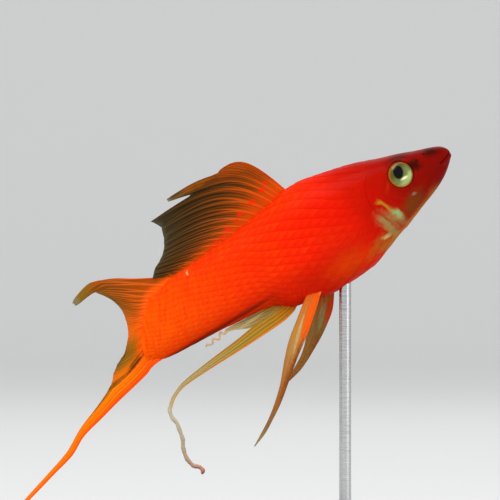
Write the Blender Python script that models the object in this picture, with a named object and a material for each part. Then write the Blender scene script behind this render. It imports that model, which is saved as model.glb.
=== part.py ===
"""A red lyretail swordtail as a still, life-size display model on a plain stand.

The fish is modelled in its own frame, in millimetres: "along" runs from the snout tip
towards the tail, "aside" to the fish's left and "height" to its back. An empty pitches
the whole fish head up over the stand. The stand's underside is centred on the origin.
"""
import math

import bmesh
import bpy
import numpy as np

MM = 0.001
GAP = 0.3                       # space between a piece and the next one

# Place of the snout tip over the stand, and the head-up pitch of the whole fish
SNOUT_X = 32.0
SNOUT_Z = 81.2
PITCH = math.radians(30.66)

# Body outline as (along, height) of the back and the belly, and (along, half width)
BACK = ((0, 0), (1.0, 2.0), (3.0, 3.0), (6.0, 4.0), (10.0, 5.5), (14.0, 6.75), (18.0, 8.3), (22.0, 9.4),
        (27.0, 10.5), (31.5, 11.3), (34.5, 11.3), (39.0, 10.4), (45.0, 9.3), (52.0, 8.5), (60.0, 7.7),
        (65.0, 7.4), (69.7, 6.2), (80.0, 6.2))
BELLY = ((0, 0), (1.2, -1.9), (4.0, -4.1), (7.0, -5.6), (11.0, -7.1), (15.0, -8.8), (19.0, -10.1),
         (22.0, -11.3), (26.5, -12.8), (31.0, -13.2), (35.5, -13.4), (40.0, -12.6), (45.5, -11.6),
         (48.5, -9.5), (51.0, -8.85), (54.0, -8.5), (57.0, -8.35), (60.2, -8.0), (63.5, -7.8),
         (67.0, -7.65), (72.0, -7.4), (75.0, -7.0), (76.9, -6.1), (80.0, -6.1))
HALF_WIDTH = ((0, 0), (1.5, 1.9), (4.5, 3.1), (9.0, 4.3), (15.0, 5.2), (20.0, 5.7), (28.0, 6.1),
              (37.0, 5.8), (48.0, 4.3), (60.0, 3.0), (80.0, 1.6))
WAIST = ((0, 0.5), (5.0, 0.56), (12.0, 0.62), (22.0, 0.57), (40.0, 0.54), (60.0, 0.5), (80.0, 0.5))
BACK_POWER = ((0, 2.0), (6.0, 2.4), (14.0, 2.5), (26.0, 2.1), (40.0, 1.9), (80.0, 2.0))
BELLY_POWER = ((0, 2.0), (8.0, 1.9), (20.0, 2.0), (32.0, 2.2), (46.0, 2.0), (80.0, 2.0))

# Where the head meets the trunk: (angle round the body from belly to back, along)
GILL_EDGE = ((-90, 11.8), (-62, 15.2), (-35, 19.0), (-8, 20.5), (15, 19.2), (40, 16.4), (66, 15.3),
             (90, 15.2))
GILL_CAP = 17.5                 # along of the middle of the parting face
COVER_LIFT = 0.3                # how far the gill cover stands off the trunk
COVER_FADE = 4.0                # the lift starts this far ahead of the edge
COVER_ANGLES = (-80, -55, 10, 35)   # the lift grows over the first two angles and ends over the last two

STALK_START = 51.0              # parting plane between trunk and tail stalk
STALK_TAPER = ((0, 1.0), (0.4, 0.76), (0.7, 0.48), (0.9, 0.25), (1.0, 0.14))
TAIL_ROOT = 74.85               # end of the flesh at mid height
TAIL_ROOT_SLANT = 0.58
TAIL_ROOT_BULGE = 0.04

EYE_ALONG = 11.8
EYE_HEIGHT = 1.2
EYE_RADIUS = 2.95
EYE_DEPTH = 1.35
EYE_SINK = 1.0
EYE_POWER = 3.4                 # above 2 the eyeball is a flatter dome with a steep rim
EYE_TURN = math.radians(11)     # the eyes look a little forwards

MOUTH_BACK = 3.1                # how far behind the snout tip the cleft's corner lies, and how far below
MOUTH_DROP = 1.1
MOUTH_BEND = 0.8
CLEFT_WIDTH = 0.34
CLEFT_DEPTH = 0.6
CLEFT_OUTSIDE = 0.9             # how far the cutting wedge stands out of the skin
CLEFT_FADE = 0.15               # share of the cleft over which it runs out at the corner
LIP_RISE = 0.22
LIP_OFFSET = 0.5
LIP_WIDTH = 0.3
LIP_END = 0.6                   # the lips run on this far behind the corner
NOSTRILS = ((7.2, 2.0, 0.42), (5.2, 2.5, 0.3))   # along, height, radius

# Fin thickness
RIDGE = 0.46                    # half thickness of a ray at its root
RIDGE_TIP = 0.2
MEMBRANE = 0.27
MEMBRANE_TIP = 0.16

# Stand
BASE_LENGTH = 68.0
BASE_WIDTH = 42.0
BASE_THICKNESS = 4.0
BASE_CORNER = 6.0
BASE_BEVEL = 0.8
ROD_X = 9.6
ROD_RADIUS = 1.3
ROD_SIDES = 20
CORNER_STEPS = 6

# Mesh density
AROUND = 40
HEAD_RINGS = 30
SNOUT_CROWDING = 1.7            # above 1 the rings crowd towards the snout
TRUNK_RINGS = 15
STALK_RINGS = 9
CLEFT_STEPS = 33
EYE_MESH = (24, 12)             # segments and rings of the eyeballs and their sockets
NOSTRIL_MESH = (10, 6)


def clear_scene():
    for item in list(bpy.data.objects):
        bpy.data.objects.remove(item, do_unlink=True)


def make_material(name, colour, roughness, metallic=0.0, alpha=1.0):
    material = bpy.data.materials.new(name)
    material.use_nodes = True
    shader = material.node_tree.nodes["Principled BSDF"]
    shader.inputs["Base Color"].default_value = (*colour, 1.0)
    shader.inputs["Roughness"].default_value = roughness
    shader.inputs["Metallic"].default_value = metallic
    shader.inputs["Alpha"].default_value = alpha
    return material


def smooth_through(points):
    """A smooth curve through (x, y) pairs that never swings past them."""
    xs, ys = np.array(points, float).T
    widths = np.diff(xs)
    slopes = np.diff(ys) / widths
    tangents = np.zeros(len(xs))
    tangents[0] = slopes[0]
    tangents[-1] = slopes[-1]
    product = slopes[:-1] * slopes[1:]
    total = np.where(product > 0, slopes[:-1] + slopes[1:], 1.0)
    tangents[1:-1] = np.where(product > 0, 2 * product / total, 0.0)

    def value(x):
        x = np.clip(np.asarray(x, float), xs[0], xs[-1])
        i = np.clip(np.searchsorted(xs, x, side="right") - 1, 0, len(xs) - 2)
        t = (x - xs[i]) / widths[i]
        start = (1 + 2 * t) * (1 - t) ** 2 * ys[i] + t * (1 - t) ** 2 * widths[i] * tangents[i]
        end = t * t * (3 - 2 * t) * ys[i + 1] + t * t * (t - 1) * widths[i] * tangents[i + 1]
        return start + end

    return value


def rounded_nose(points):
    """As smooth_through, but over the square root of along, so that the snout ends blunt."""
    curve = smooth_through([(math.sqrt(x), y) for x, y in points])
    return lambda along: curve(np.sqrt(np.maximum(along, 0.0)))


back = rounded_nose(BACK)
belly = rounded_nose(BELLY)
half_width = rounded_nose(HALF_WIDTH)
waist = smooth_through(WAIST)
back_power = smooth_through(BACK_POWER)
belly_power = smooth_through(BELLY_POWER)
gill_edge = smooth_through(GILL_EDGE)
stalk_taper = smooth_through(STALK_TAPER)


def waist_height(along):
    return belly(along) + waist(along) * (back(along) - belly(along))


def section_point(along, angle, width):
    """Aside and height of the section's outline, angle 0 at the left flank and 90 at the back."""
    cosine = np.cos(angle)
    sine = np.sin(angle)
    power = np.where(sine > 0, back_power(along), belly_power(along))
    middle = waist_height(along)
    reach = np.where(sine > 0, back(along) - middle, middle - belly(along))
    aside = width * np.sign(cosine) * np.abs(cosine) ** (2 / power)
    height = middle + reach * np.sign(sine) * np.abs(sine) ** (2 / power)
    return aside, height


def flank(along, height):
    """Distance of the skin from the middle plane at a height."""
    middle = waist_height(along)
    upper = height > middle
    reach = np.where(upper, back(along) - middle, middle - belly(along))
    power = np.where(upper, back_power(along), belly_power(along))
    share = np.clip(np.abs(height - middle) / np.maximum(reach, 1e-6), 0, 1)
    return half_width(along) * (1 - share ** power) ** (1 / power)


def topside(along, aside):
    """Height of the back over a point aside."""
    middle = waist_height(along)
    share = np.clip(np.abs(aside) / half_width(along), 0, 1)
    power = back_power(along)
    return middle + (back(along) - middle) * (1 - share ** power) ** (1 / power)


def underside(along, aside):
    """Height of the belly under a point aside."""
    middle = waist_height(along)
    share = np.clip(np.abs(aside) / half_width(along), 0, 1)
    power = belly_power(along)
    return middle - (middle - belly(along)) * (1 - share ** power) ** (1 / power)


def tail_root(height):
    """Along of the curved end of the flesh, where the tail fin grows."""
    return TAIL_ROOT - TAIL_ROOT_SLANT * height - TAIL_ROOT_BULGE * height ** 2


def cut_angle(angle):
    """Degrees from belly (-90) to back (90), the same on both sides."""
    return np.degrees(np.arcsin(np.clip(np.sin(angle), -1, 1)))


def to_local(along, aside, height):
    """Points of the fish's frame as local coordinates in metres, head towards +X."""
    along, aside, height = np.broadcast_arrays(along, aside, height)
    return np.stack([-along, aside, height], axis=-1) * MM


def grid_triangles(rows, columns, closed, offset=0):
    """Triangles of a grid of points, with the same diagonal throughout."""
    triangles = []
    across = columns if closed else columns - 1
    for row in range(rows - 1):
        for column in range(across):
            beside = (column + 1) % columns
            a = offset + row * columns + column
            b = offset + row * columns + beside
            c = a + columns
            d = b + columns
            triangles.append((a, b, d))
            triangles.append((a, d, c))
    return triangles


def add_object(name, vertices, faces, material, parent=None, smooth=True):
    """A closed mesh as a named object, faces turned outwards."""
    mesh = bpy.data.meshes.new(name)
    mesh.from_pydata([tuple(v) for v in vertices], [], faces)
    work = bmesh.new()
    work.from_mesh(mesh)
    bmesh.ops.recalc_face_normals(work, faces=work.faces)
    work.to_mesh(mesh)
    work.free()
    if smooth:
        mesh.shade_smooth()
        mesh.set_sharp_from_angle(angle=math.radians(40))
    if material:
        mesh.materials.append(material)
    item = bpy.data.objects.new(name, mesh)
    bpy.context.scene.collection.objects.link(item)
    item.parent = parent
    return item


def loft(rings, first, last):
    """Closed skin over rings of equal length, drawn in to one point at each end."""
    rows, columns, _ = rings.shape
    vertices = list(rings.reshape(-1, 3)) + [first, last]
    faces = grid_triangles(rows, columns, closed=True)
    start = rows * columns
    tail = (rows - 1) * columns
    for column in range(columns):
        beside = (column + 1) % columns
        faces.append((start, beside, column))
        faces.append((start + 1, tail + column, tail + beside))
    return vertices, faces


def head_relief(along, aside, height, angle):
    """How far the head's skin stands out: lips beside the cleft, and the gill cover's free edge."""
    from_cleft = np.abs(height - mouth_height(along))
    near_mouth = np.clip((MOUTH_BACK + LIP_END - along) / (1.5 * LIP_END), 0, 1)
    at_tip = np.clip(along / LIP_WIDTH, 0, 1)
    lips = LIP_RISE * near_mouth * at_tip * np.exp(-((from_cleft - LIP_OFFSET) / LIP_WIDTH) ** 2)
    around = cut_angle(angle)
    on_cover = np.interp(around, COVER_ANGLES, (0, 1, 1, 0))
    to_edge = np.clip((gill_edge(around) - along) / COVER_FADE, 0, 1)
    return lips + COVER_LIFT * on_cover * (1 - to_edge) ** 1.5


def mouth_height(along):
    """Height of the mouth's cleft in side view, from the snout tip down to its corner."""
    return -MOUTH_DROP * np.clip(along / MOUTH_BACK, 0, 1.4) ** MOUTH_BEND


def ring_angles():
    return np.arange(AROUND) * 2 * math.pi / AROUND


def head_rings():
    angle = ring_angles()[None, :]
    share = (np.arange(1, HEAD_RINGS + 1) / HEAD_RINGS)[:, None]
    along = gill_edge(cut_angle(angle)) * share ** SNOUT_CROWDING
    aside, height = section_point(along, angle, half_width(along))
    relief = head_relief(along, aside, height, angle)
    aside = aside + relief * np.cos(angle)
    height = height + relief * np.sin(angle)
    return to_local(along, aside, height)


def ellipsoid(centre, radii, turn, density, power=2.0):
    """A ball with its own radii along, aside and up, turned about the upright axis."""
    segments, rings = density
    polar = (np.arange(1, rings) * math.pi / rings)[:, None]
    around = (np.arange(segments) * 2 * math.pi / segments)[None, :]
    spread = np.sin(polar) ** (2 / power)
    x = radii[0] * spread * np.cos(around)
    z = radii[2] * spread * np.sin(around)
    y = np.broadcast_to(radii[1] * np.sign(np.cos(polar)) * np.abs(np.cos(polar)) ** (2 / power), x.shape)
    along = centre[0] + x * math.cos(turn) - y * math.sin(turn)
    aside = centre[1] + x * math.sin(turn) + y * math.cos(turn)
    points = to_local(along, aside, centre[2] + z)
    top = to_local(centre[0] - radii[1] * math.sin(turn), centre[1] + radii[1] * math.cos(turn), centre[2])
    low = to_local(centre[0] + radii[1] * math.sin(turn), centre[1] - radii[1] * math.cos(turn), centre[2])
    return loft(points, top, low)


def eye_centre(side):
    return (EYE_ALONG, side * (flank(EYE_ALONG, EYE_HEIGHT) - EYE_SINK), EYE_HEIGHT)


def mouth_cutter():
    """A wedge swept round the snout along the cleft, its sharp edge inwards."""
    steps = np.linspace(-1, 1, CLEFT_STEPS)
    along = MOUTH_BACK * steps ** 2
    height = mouth_height(along)
    aside = np.sign(steps) * flank(along, height)
    direction = np.stack([-np.gradient(aside), np.gradient(along)], axis=-1)
    direction /= np.linalg.norm(direction, axis=-1)[:, None]
    depth = CLEFT_DEPTH * np.clip((1 - np.abs(steps)) / CLEFT_FADE, CLEFT_FADE, 1)
    mouth = CLEFT_WIDTH / 2 * (1 + CLEFT_OUTSIDE / CLEFT_DEPTH)
    rings = []
    for outwards, upwards in ((CLEFT_OUTSIDE, mouth), (-depth, 0.0), (CLEFT_OUTSIDE, -mouth)):
        rings.append(to_local(along + direction[:, 0] * outwards, aside + direction[:, 1] * outwards,
                              height + upwards))
    rings = np.stack(rings, axis=1)
    return loft(rings, rings[0].mean(axis=0), rings[-1].mean(axis=0))


def join_shapes(shapes):
    """Several closed shapes, apart from each other, as one list of points and faces."""
    vertices = []
    faces = []
    for points, triangles in shapes:
        offset = len(vertices)
        vertices.extend(points)
        faces.extend(tuple(i + offset for i in face) for face in triangles)
    return vertices, faces


def make_head(fish, material, eye_material):
    rings = head_rings()
    cap = to_local(GILL_CAP, 0.0, waist_height(GILL_CAP))
    head = add_object("head", *loft(rings, to_local(0.0, 0.0, 0.0), cap), material, fish)
    cuts = [mouth_cutter()]
    for side in (1, -1):
        turn = side * EYE_TURN
        centre = eye_centre(side)
        ball = (EYE_RADIUS, EYE_DEPTH, EYE_RADIUS)
        socket = tuple(radius + GAP for radius in ball)
        cuts.append(ellipsoid(centre, socket, turn, EYE_MESH, EYE_POWER))
        for along, height, radius in NOSTRILS:
            place = (along, side * flank(along, height), height)
            cuts.append(ellipsoid(place, (radius, radius, radius), turn, NOSTRIL_MESH))
        name = "eye_left" if side > 0 else "eye_right"
        add_object(name, *ellipsoid(centre, ball, turn, EYE_MESH, EYE_POWER), eye_material, fish)
    cutter = add_object("head_cutter", *join_shapes(cuts), None, fish, smooth=False)
    cutter.hide_render = True
    cutter.display_type = "WIRE"
    cut = head.modifiers.new("cut", "BOOLEAN")
    cut.operation = "DIFFERENCE"
    cut.object = cutter
    return head


def make_trunk(fish, material):
    angle = ring_angles()[None, :]
    share = np.linspace(0, 1, TRUNK_RINGS)[:, None]
    front = gill_edge(cut_angle(angle)) + GAP
    along = front + (STALK_START - front) * share
    aside, height = section_point(along, angle, half_width(along))
    first = to_local(GILL_CAP + GAP, 0.0, waist_height(GILL_CAP))
    last = to_local(STALK_START, 0.0, waist_height(STALK_START))
    return add_object("trunk", *loft(to_local(along, aside, height), first, last), material, fish)


def make_tail_stalk(fish, material):
    angle = ring_angles()[None, :]
    share = np.linspace(0, 1, STALK_RINGS)[:, None]
    start = STALK_START + GAP
    _, end_height = section_point(TAIL_ROOT, angle, 1.0)
    end = tail_root(end_height)
    along = start + (end - start) * share
    width = half_width(start) * stalk_taper(share)
    aside, height = section_point(along, angle, width)
    middle = waist_height(TAIL_ROOT)
    first = to_local(start, 0.0, waist_height(start))
    last = to_local(tail_root(middle), 0.0, middle)
    return add_object("tail_stalk", *loft(to_local(along, aside, height), first, last), material, fish)


def bezier(points, t):
    """Point at t on a curve with four control points, each an array of (along, height)."""
    a, b, c, d = (np.asarray(p, float)[None, ...] for p in points)
    t = t[:, None, None]
    return a * (1 - t) ** 3 + 3 * b * t * (1 - t) ** 2 + 3 * c * t ** 2 * (1 - t) + d * t ** 3


def heading(degrees):
    radians = np.radians(degrees)
    return np.stack([np.cos(radians), np.sin(radians)], axis=-1)


def with_membranes(rays):
    """Puts a column of membrane half way between each ray and the next."""
    rows, count, _ = rays.shape
    grid = np.zeros((rows, 2 * count - 1, 2))
    grid[:, ::2] = rays
    grid[:, 1::2] = (rays[:, :-1] + rays[:, 1:]) / 2
    return grid


def ray_fan(roots, tips, root_angle, tip_angle, rise, run, rows):
    """Rays from root to tip, each leaving at one angle and arriving at another."""
    roots = np.asarray(roots, float)
    tips = np.asarray(tips, float)
    length = np.linalg.norm(tips - roots, axis=-1)[:, None]
    leave = roots + heading(root_angle) * length * rise
    arrive = tips - heading(tip_angle) * length * run
    return bezier((roots, leave, arrive, tips), np.linspace(0, 1, rows))


def fin_thickness(rows, columns, root=RIDGE, tip=RIDGE_TIP):
    """Half thickness over a fin's grid: rays at every second column, thinner at the margin."""
    share = np.linspace(0, 1, rows)[:, None]
    ridge = root + (tip - root) * share
    membrane = MEMBRANE + (MEMBRANE_TIP - MEMBRANE) * np.clip((share - 0.8) / 0.2, 0, 1)
    on_ray = (np.arange(columns) % 2 == 0)[None, :]
    half = np.where(on_ray, ridge, np.minimum(membrane, ridge))
    half[0] = root
    return half


def fin_faces(rows, columns):
    """Both faces split into triangles alike, and the rim between them."""
    count = rows * columns
    near = grid_triangles(rows, columns, closed=False)
    far = [tuple(reversed(face)) for face in grid_triangles(rows, columns, closed=False, offset=count)]
    rim = list(range(columns))
    rim += [row * columns + columns - 1 for row in range(1, rows)]
    rim += [(rows - 1) * columns + column for column in range(columns - 2, -1, -1)]
    rim += [row * columns for row in range(rows - 2, 0, -1)]
    edge = []
    for a, b in zip(rim, rim[1:] + rim[:1]):
        edge.append((b, a, a + count))
        edge.append((b, a + count, b + count))
    return near + far + edge


def make_fin(name, grid, aside, half, fish, material, root_height=None, root_along=None):
    """A fin in its two faces: grid holds (along, height) of each point, aside its place sideways."""
    rows, columns, _ = grid.shape
    faces = []
    for side in (1, -1):
        along = grid[..., 0].copy()
        height = grid[..., 1].copy()
        out = aside + side * half
        if root_height:
            height[0] = root_height(along[0], out[0])
        if root_along:
            along[0] = root_along(height[0], out[0])
        faces.append(to_local(along, out, height).reshape(-1, 3))
    return add_object(name, np.concatenate(faces), fin_faces(rows, columns), material, fish)


def on_back(along, aside):
    return topside(along, aside) + GAP


def under_belly(along, aside):
    return underside(along, aside) - GAP


def behind_flesh(height, aside):
    return tail_root(height) + GAP


# Dorsal fin, ray by ray from front to rear. The front rays are long and bend back over the others.
DORSAL_ROOTS = (34.2, 36.2, 38.2, 40.2, 42.2, 44.2, 46.2, 48.2, 50.3, 52.6, 55.2, 58.6, 64.4)
DORSAL_TIPS = ((45.6, 21.3), (57.6, 22.3), (63.1, 19.8), (61.6, 17.3), (62.1, 15.6), (62.8, 14.2),
               (63.5, 13.2), (64.3, 12.4), (65.2, 11.8), (66.0, 11.3), (66.9, 10.9), (67.7, 10.5),
               (68.5, 10.1))
DORSAL_ROOT_ANGLE = (67, 65, 58, 50, 42, 35, 30, 26, 22, 18, 14, 12, 29)    # the ray's way off the back
DORSAL_TIP_ANGLE = (-14, 3, -4, -5, -4, -3, 0, 3, 5, 8, 12, 18, 29)         # and its way at the margin
DORSAL_RISE = (0.6, 0.45, 0.42) + (0.34,) * 10      # how long it keeps its first way, by its length
DORSAL_RUN = (0.42, 0.5, 0.5, 0.46, 0.43, 0.4) + (0.35,) * 7    # and its last way
DORSAL_NOTCH = (1, 54.2, 20.7)  # notch in the margin behind this ray: its deepest point
DORSAL_SWAY = 0.9               # how far the margin waves to the sides
DORSAL_WAVE = 4.0
DORSAL_ROWS = 10


def make_dorsal_fin(fish, material):
    along = np.array(DORSAL_ROOTS)
    roots = np.stack([along, back(along) + GAP], axis=-1)
    rise = np.array(DORSAL_RISE)[:, None]
    run = np.array(DORSAL_RUN)[:, None]
    rays = ray_fan(roots, DORSAL_TIPS, DORSAL_ROOT_ANGLE, DORSAL_TIP_ANGLE, rise, run, DORSAL_ROWS)
    grid = with_membranes(rays)
    ray, notch_along, notch_height = DORSAL_NOTCH
    column = 2 * ray + 1
    share = np.linspace(0, 1, DORSAL_ROWS)[:, None] ** 3
    grid[:, column] += share * (np.array([notch_along, notch_height]) - grid[-1, column])
    rows, columns, _ = grid.shape
    upward = np.linspace(0, 1, rows)[:, None]
    across = np.linspace(0, 1, columns)[None, :]
    aside = DORSAL_SWAY * upward ** 2 * np.sin(DORSAL_WAVE * across)
    make_fin("dorsal_fin", grid, aside, fin_thickness(rows, columns), fish, material, root_height=on_back)


def along_path(points, count, crowding=1.0):
    """Points on a smooth curve through a short list of (along, height), evenly spaced at crowding 1."""
    points = np.asarray(points, float)
    distance = np.concatenate([[0], np.cumsum(np.linalg.norm(np.diff(points, axis=0), axis=1))])
    spots = np.linspace(0, 1, count) ** crowding * distance[-1]
    columns = [smooth_through(np.stack([distance, points[:, k]], axis=1))(spots) for k in (0, 1)]
    return np.stack(columns, axis=-1)


def between_edges(first, last, root, margin):
    """Grid that fills the four edges of a fin: rows run from root to margin."""
    down = np.linspace(0, 1, len(first))[:, None, None]
    across = np.linspace(0, 1, len(root))[None, :, None]
    sides = (1 - across) * first[:, None, :] + across * last[:, None, :]
    ends = (1 - down) * root[None, :, :] + down * margin[None, :, :]
    corners = ((1 - down) * ((1 - across) * first[0] + across * last[0])
               + down * ((1 - across) * first[-1] + across * last[-1]))
    return sides + ends - corners


# Tail fin above the sword. The upper lobe's upper edge runs to a tip that droops.
UPPER_ROOT_START = 66.0
UPPER_EDGE = ((66.0, 7.6), (67.9, 8.9), (73.5, 12.1), (77.2, 14.2), (79.3, 15.1), (80.9, 14.95),
              (83.3, 14.3), (85.7, 13.3))
UPPER_MARGIN = ((85.7, 13.3), (85.4, 12.75), (82.6, 13.25), (81.2, 13.0), (79.9, 11.8), (78.7, 10.6),
                (78.0, 9.0), (77.6, 7.3), (77.8, 5.4), (78.4, 2.2))
UPPER_LAST_RAY = ((74.75, 1.6), (76.6, 1.8), (78.4, 2.2))
LOWER_FIRST_RAY = ((75.0, 1.2), (77.0, 1.2), (79.1, 1.4))
LOWER_MARGIN = ((79.1, 1.4), (80.5, -0.2), (81.9, -1.6), (83.9, -2.4), (85.4, -3.5), (86.6, -4.7),
                (87.0, -5.2))
LOWER_LAST_RAY = ((76.5, -2.75), (78.5, -3.3), (79.8, -3.85), (82.8, -4.65), (84.6, -5.05), (87.0, -5.2))
TAIL_ROWS = 9
UPPER_COLUMNS = 19
UPPER_CROWDING = 0.62           # fewer rays over the back and in the tip than lower down
LOWER_COLUMNS = 11
TAIL_SWAY = 1.1                 # how far the tail fin and sword bend to the sides behind the flesh
TAIL_SWAY_START = 72.0
TAIL_SWAY_LENGTH = 16.0


def tail_wave(grid):
    """Sideways sweep of the tail fin and sword, which grows behind the flesh."""
    behind = np.clip(grid[..., 0] - TAIL_SWAY_START, 0, None) / TAIL_SWAY_LENGTH
    return TAIL_SWAY * np.sin(behind) * np.clip(2 * behind, 0, 1)


def upper_root_line(last_height):
    """Root of the upper lobe: over the back to the flesh's corner, then down behind the flesh."""
    corner = BACK[-1][1]
    over = np.linspace(UPPER_ROOT_START, tail_root(corner), 9)
    down = np.linspace(corner, last_height, 9)
    return np.concatenate([np.stack([over, back(over) + GAP], axis=-1),
                           np.stack([tail_root(down) + GAP, down], axis=-1)])


def make_caudal_fins(fish, material):
    root = along_path(upper_root_line(UPPER_LAST_RAY[0][1]), UPPER_COLUMNS, UPPER_CROWDING)
    margin = along_path(UPPER_MARGIN, UPPER_COLUMNS, UPPER_CROWDING)
    edge = along_path((root[0],) + UPPER_EDGE[1:], TAIL_ROWS)
    last = along_path((root[-1],) + UPPER_LAST_RAY[1:], TAIL_ROWS)
    grid = between_edges(edge, last, root, margin)
    half = fin_thickness(TAIL_ROWS, UPPER_COLUMNS)
    make_fin("caudal_upper", grid, tail_wave(grid), half, fish, material)

    height = np.linspace(LOWER_FIRST_RAY[0][1], LOWER_LAST_RAY[0][1], LOWER_COLUMNS)
    root = np.stack([tail_root(height) + GAP, height], axis=-1)
    margin = along_path(LOWER_MARGIN, LOWER_COLUMNS)
    first = along_path((root[0],) + LOWER_FIRST_RAY[1:], TAIL_ROWS)
    last = along_path((root[-1],) + LOWER_LAST_RAY[1:], TAIL_ROWS)
    grid = between_edges(first, last, root, margin)
    half = fin_thickness(TAIL_ROWS, LOWER_COLUMNS)
    make_fin("caudal_lower", grid, tail_wave(grid), half, fish, material)


def strip(upper, lower, rows, columns):
    """A long fin between its upper and its lower edge."""
    top = along_path(upper, rows)[:, None, :]
    low = along_path(lower, rows)[:, None, :]
    share = np.linspace(0, 1, columns)[None, :, None]
    return top + (low - top) * share


SWORD_UPPER = ((76.9, -3.1), (79.8, -4.3), (82.8, -5.2), (86.5, -5.85), (89.1, -6.7), (92.8, -8.4),
               (97.8, -10.4), (103.4, -13.5), (109.0, -15.35), (115.65, -17.4), (122.2, -19.55))
SWORD_LOWER = ((77.2, -6.6), (79.5, -7.6), (82.2, -8.3), (84.8, -9.0), (88.3, -9.8), (92.9, -11.0),
               (98.2, -12.4), (102.6, -14.7), (107.7, -16.1), (114.6, -18.0), (122.1, -19.9))
SWORD_ROWS = 20
SWORD_COLUMNS = 9
SWORD_HALF = (0.5, 0.22)


def make_sword(fish, material):
    grid = strip(SWORD_UPPER, SWORD_LOWER, SWORD_ROWS, SWORD_COLUMNS)
    half = fin_thickness(SWORD_ROWS, SWORD_COLUMNS, *SWORD_HALF)
    make_fin("sword", grid, tail_wave(grid), half, fish, material, root_along=behind_flesh)


GONOPODIUM_UPPER = ((46.6, -11.4), (50.0, -11.05), (53.9, -10.8), (60.1, -11.4), (66.0, -12.0),
                    (70.3, -12.55), (74.0, -13.15), (77.9, -14.8), (79.9, -16.6))
GONOPODIUM_LOWER = ((43.9, -12.2), (46.2, -13.3), (49.0, -13.6), (53.6, -13.55), (60.3, -13.65),
                    (66.3, -13.75), (70.6, -13.9), (74.3, -14.2), (77.3, -15.35), (79.1, -16.9))
GONOPODIUM_ROWS = 17
GONOPODIUM_COLUMNS = 7
GONOPODIUM_HALF = (0.6, 0.34)   # half thickness at the root and at the end
THREAD_PATH = ((79.75, -17.15), (80.0, -18.6), (79.75, -20.0), (80.0, -21.6), (80.4, -23.6), (81.3, -25.4),
               (81.75, -27.6), (81.4, -29.5), (80.3, -30.7), (80.1, -31.5), (80.7, -32.2))
THREAD_RADIUS = 0.42
THREAD_TIP = 0.42
THREAD_STEPS = 26
THREAD_SIDES = 8

REAR_UPPER = ((48.1, -10.0), (50.5, -9.35), (52.9, -9.05), (55.0, -8.9), (57.2, -8.8), (59.0, -8.6),
              (60.6, -8.45))
REAR_LOWER = ((46.9, -10.7), (49.0, -10.6), (51.5, -10.45), (54.3, -10.3), (56.6, -10.0), (58.2, -9.5),
              (60.7, -8.9))
REAR_ROWS = 9
REAR_COLUMNS = 7
REAR_HALF = (0.5, 0.28)
CRINKLE_START = (61.2, -8.85)
CRINKLE_END = (66.1, -9.3)
CRINKLE_SWING = 0.5
CRINKLE_EASE = 0.5              # how much of the swing is gone at the end
CRINKLE_WAVES = 3.0
CRINKLE_RADIUS = 0.25
CRINKLE_TIP = 0.2
CRINKLE_STEPS = 30


def tube(path, aside, radius, sides):
    """A round thread along a path in (along, height), closed at both ends."""
    path = np.asarray(path, float)
    aside = np.broadcast_to(aside, len(path))
    radius = np.broadcast_to(radius, len(path))
    forward = np.gradient(path, axis=0)
    forward /= np.linalg.norm(forward, axis=1)[:, None]
    angle = np.arange(sides) * 2 * math.pi / sides
    up = np.stack([-forward[:, 1], forward[:, 0]], axis=1)
    along = path[:, 0:1] + radius[:, None] * np.cos(angle) * up[:, 0:1]
    height = path[:, 1:2] + radius[:, None] * np.cos(angle) * up[:, 1:2]
    out = aside[:, None] + radius[:, None] * np.sin(angle)
    first = to_local(path[0, 0], aside[0], path[0, 1])
    last = to_local(path[-1, 0], aside[-1], path[-1, 1])
    return loft(to_local(along, out, height), first, last)


def make_anal_fin(fish, material, pale_material):
    grid = strip(GONOPODIUM_UPPER, GONOPODIUM_LOWER, GONOPODIUM_ROWS, GONOPODIUM_COLUMNS)
    half = fin_thickness(GONOPODIUM_ROWS, GONOPODIUM_COLUMNS, *GONOPODIUM_HALF)
    make_fin("gonopodium", grid, np.zeros(half.shape), half, fish, material, root_height=under_belly)
    path = along_path(THREAD_PATH, THREAD_STEPS)
    radius = np.linspace(THREAD_RADIUS, THREAD_TIP, len(path))
    add_object("gonopodium_thread", *tube(path, 0.0, radius, THREAD_SIDES), pale_material, fish)

    grid = strip(REAR_UPPER, REAR_LOWER, REAR_ROWS, REAR_COLUMNS)
    half = fin_thickness(REAR_ROWS, REAR_COLUMNS, *REAR_HALF)
    make_fin("anal_fin_rear", grid, np.zeros(half.shape), half, fish, material, root_height=under_belly)
    share = np.linspace(0, 1, CRINKLE_STEPS)
    start = np.array(CRINKLE_START)
    run = np.array(CRINKLE_END) - start
    across = np.array([-run[1], run[0]]) / np.linalg.norm(run)
    swing = -CRINKLE_SWING * np.sin(share * CRINKLE_WAVES * 2 * math.pi) * np.minimum(1, share * 6)
    swing *= 1 - CRINKLE_EASE * share
    path = start + share[:, None] * run + swing[:, None] * across
    radius = np.linspace(CRINKLE_RADIUS, CRINKLE_TIP, len(path))
    add_object("anal_fin_thread", *tube(path, 0.0, radius, THREAD_SIDES), pale_material, fish)


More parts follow.
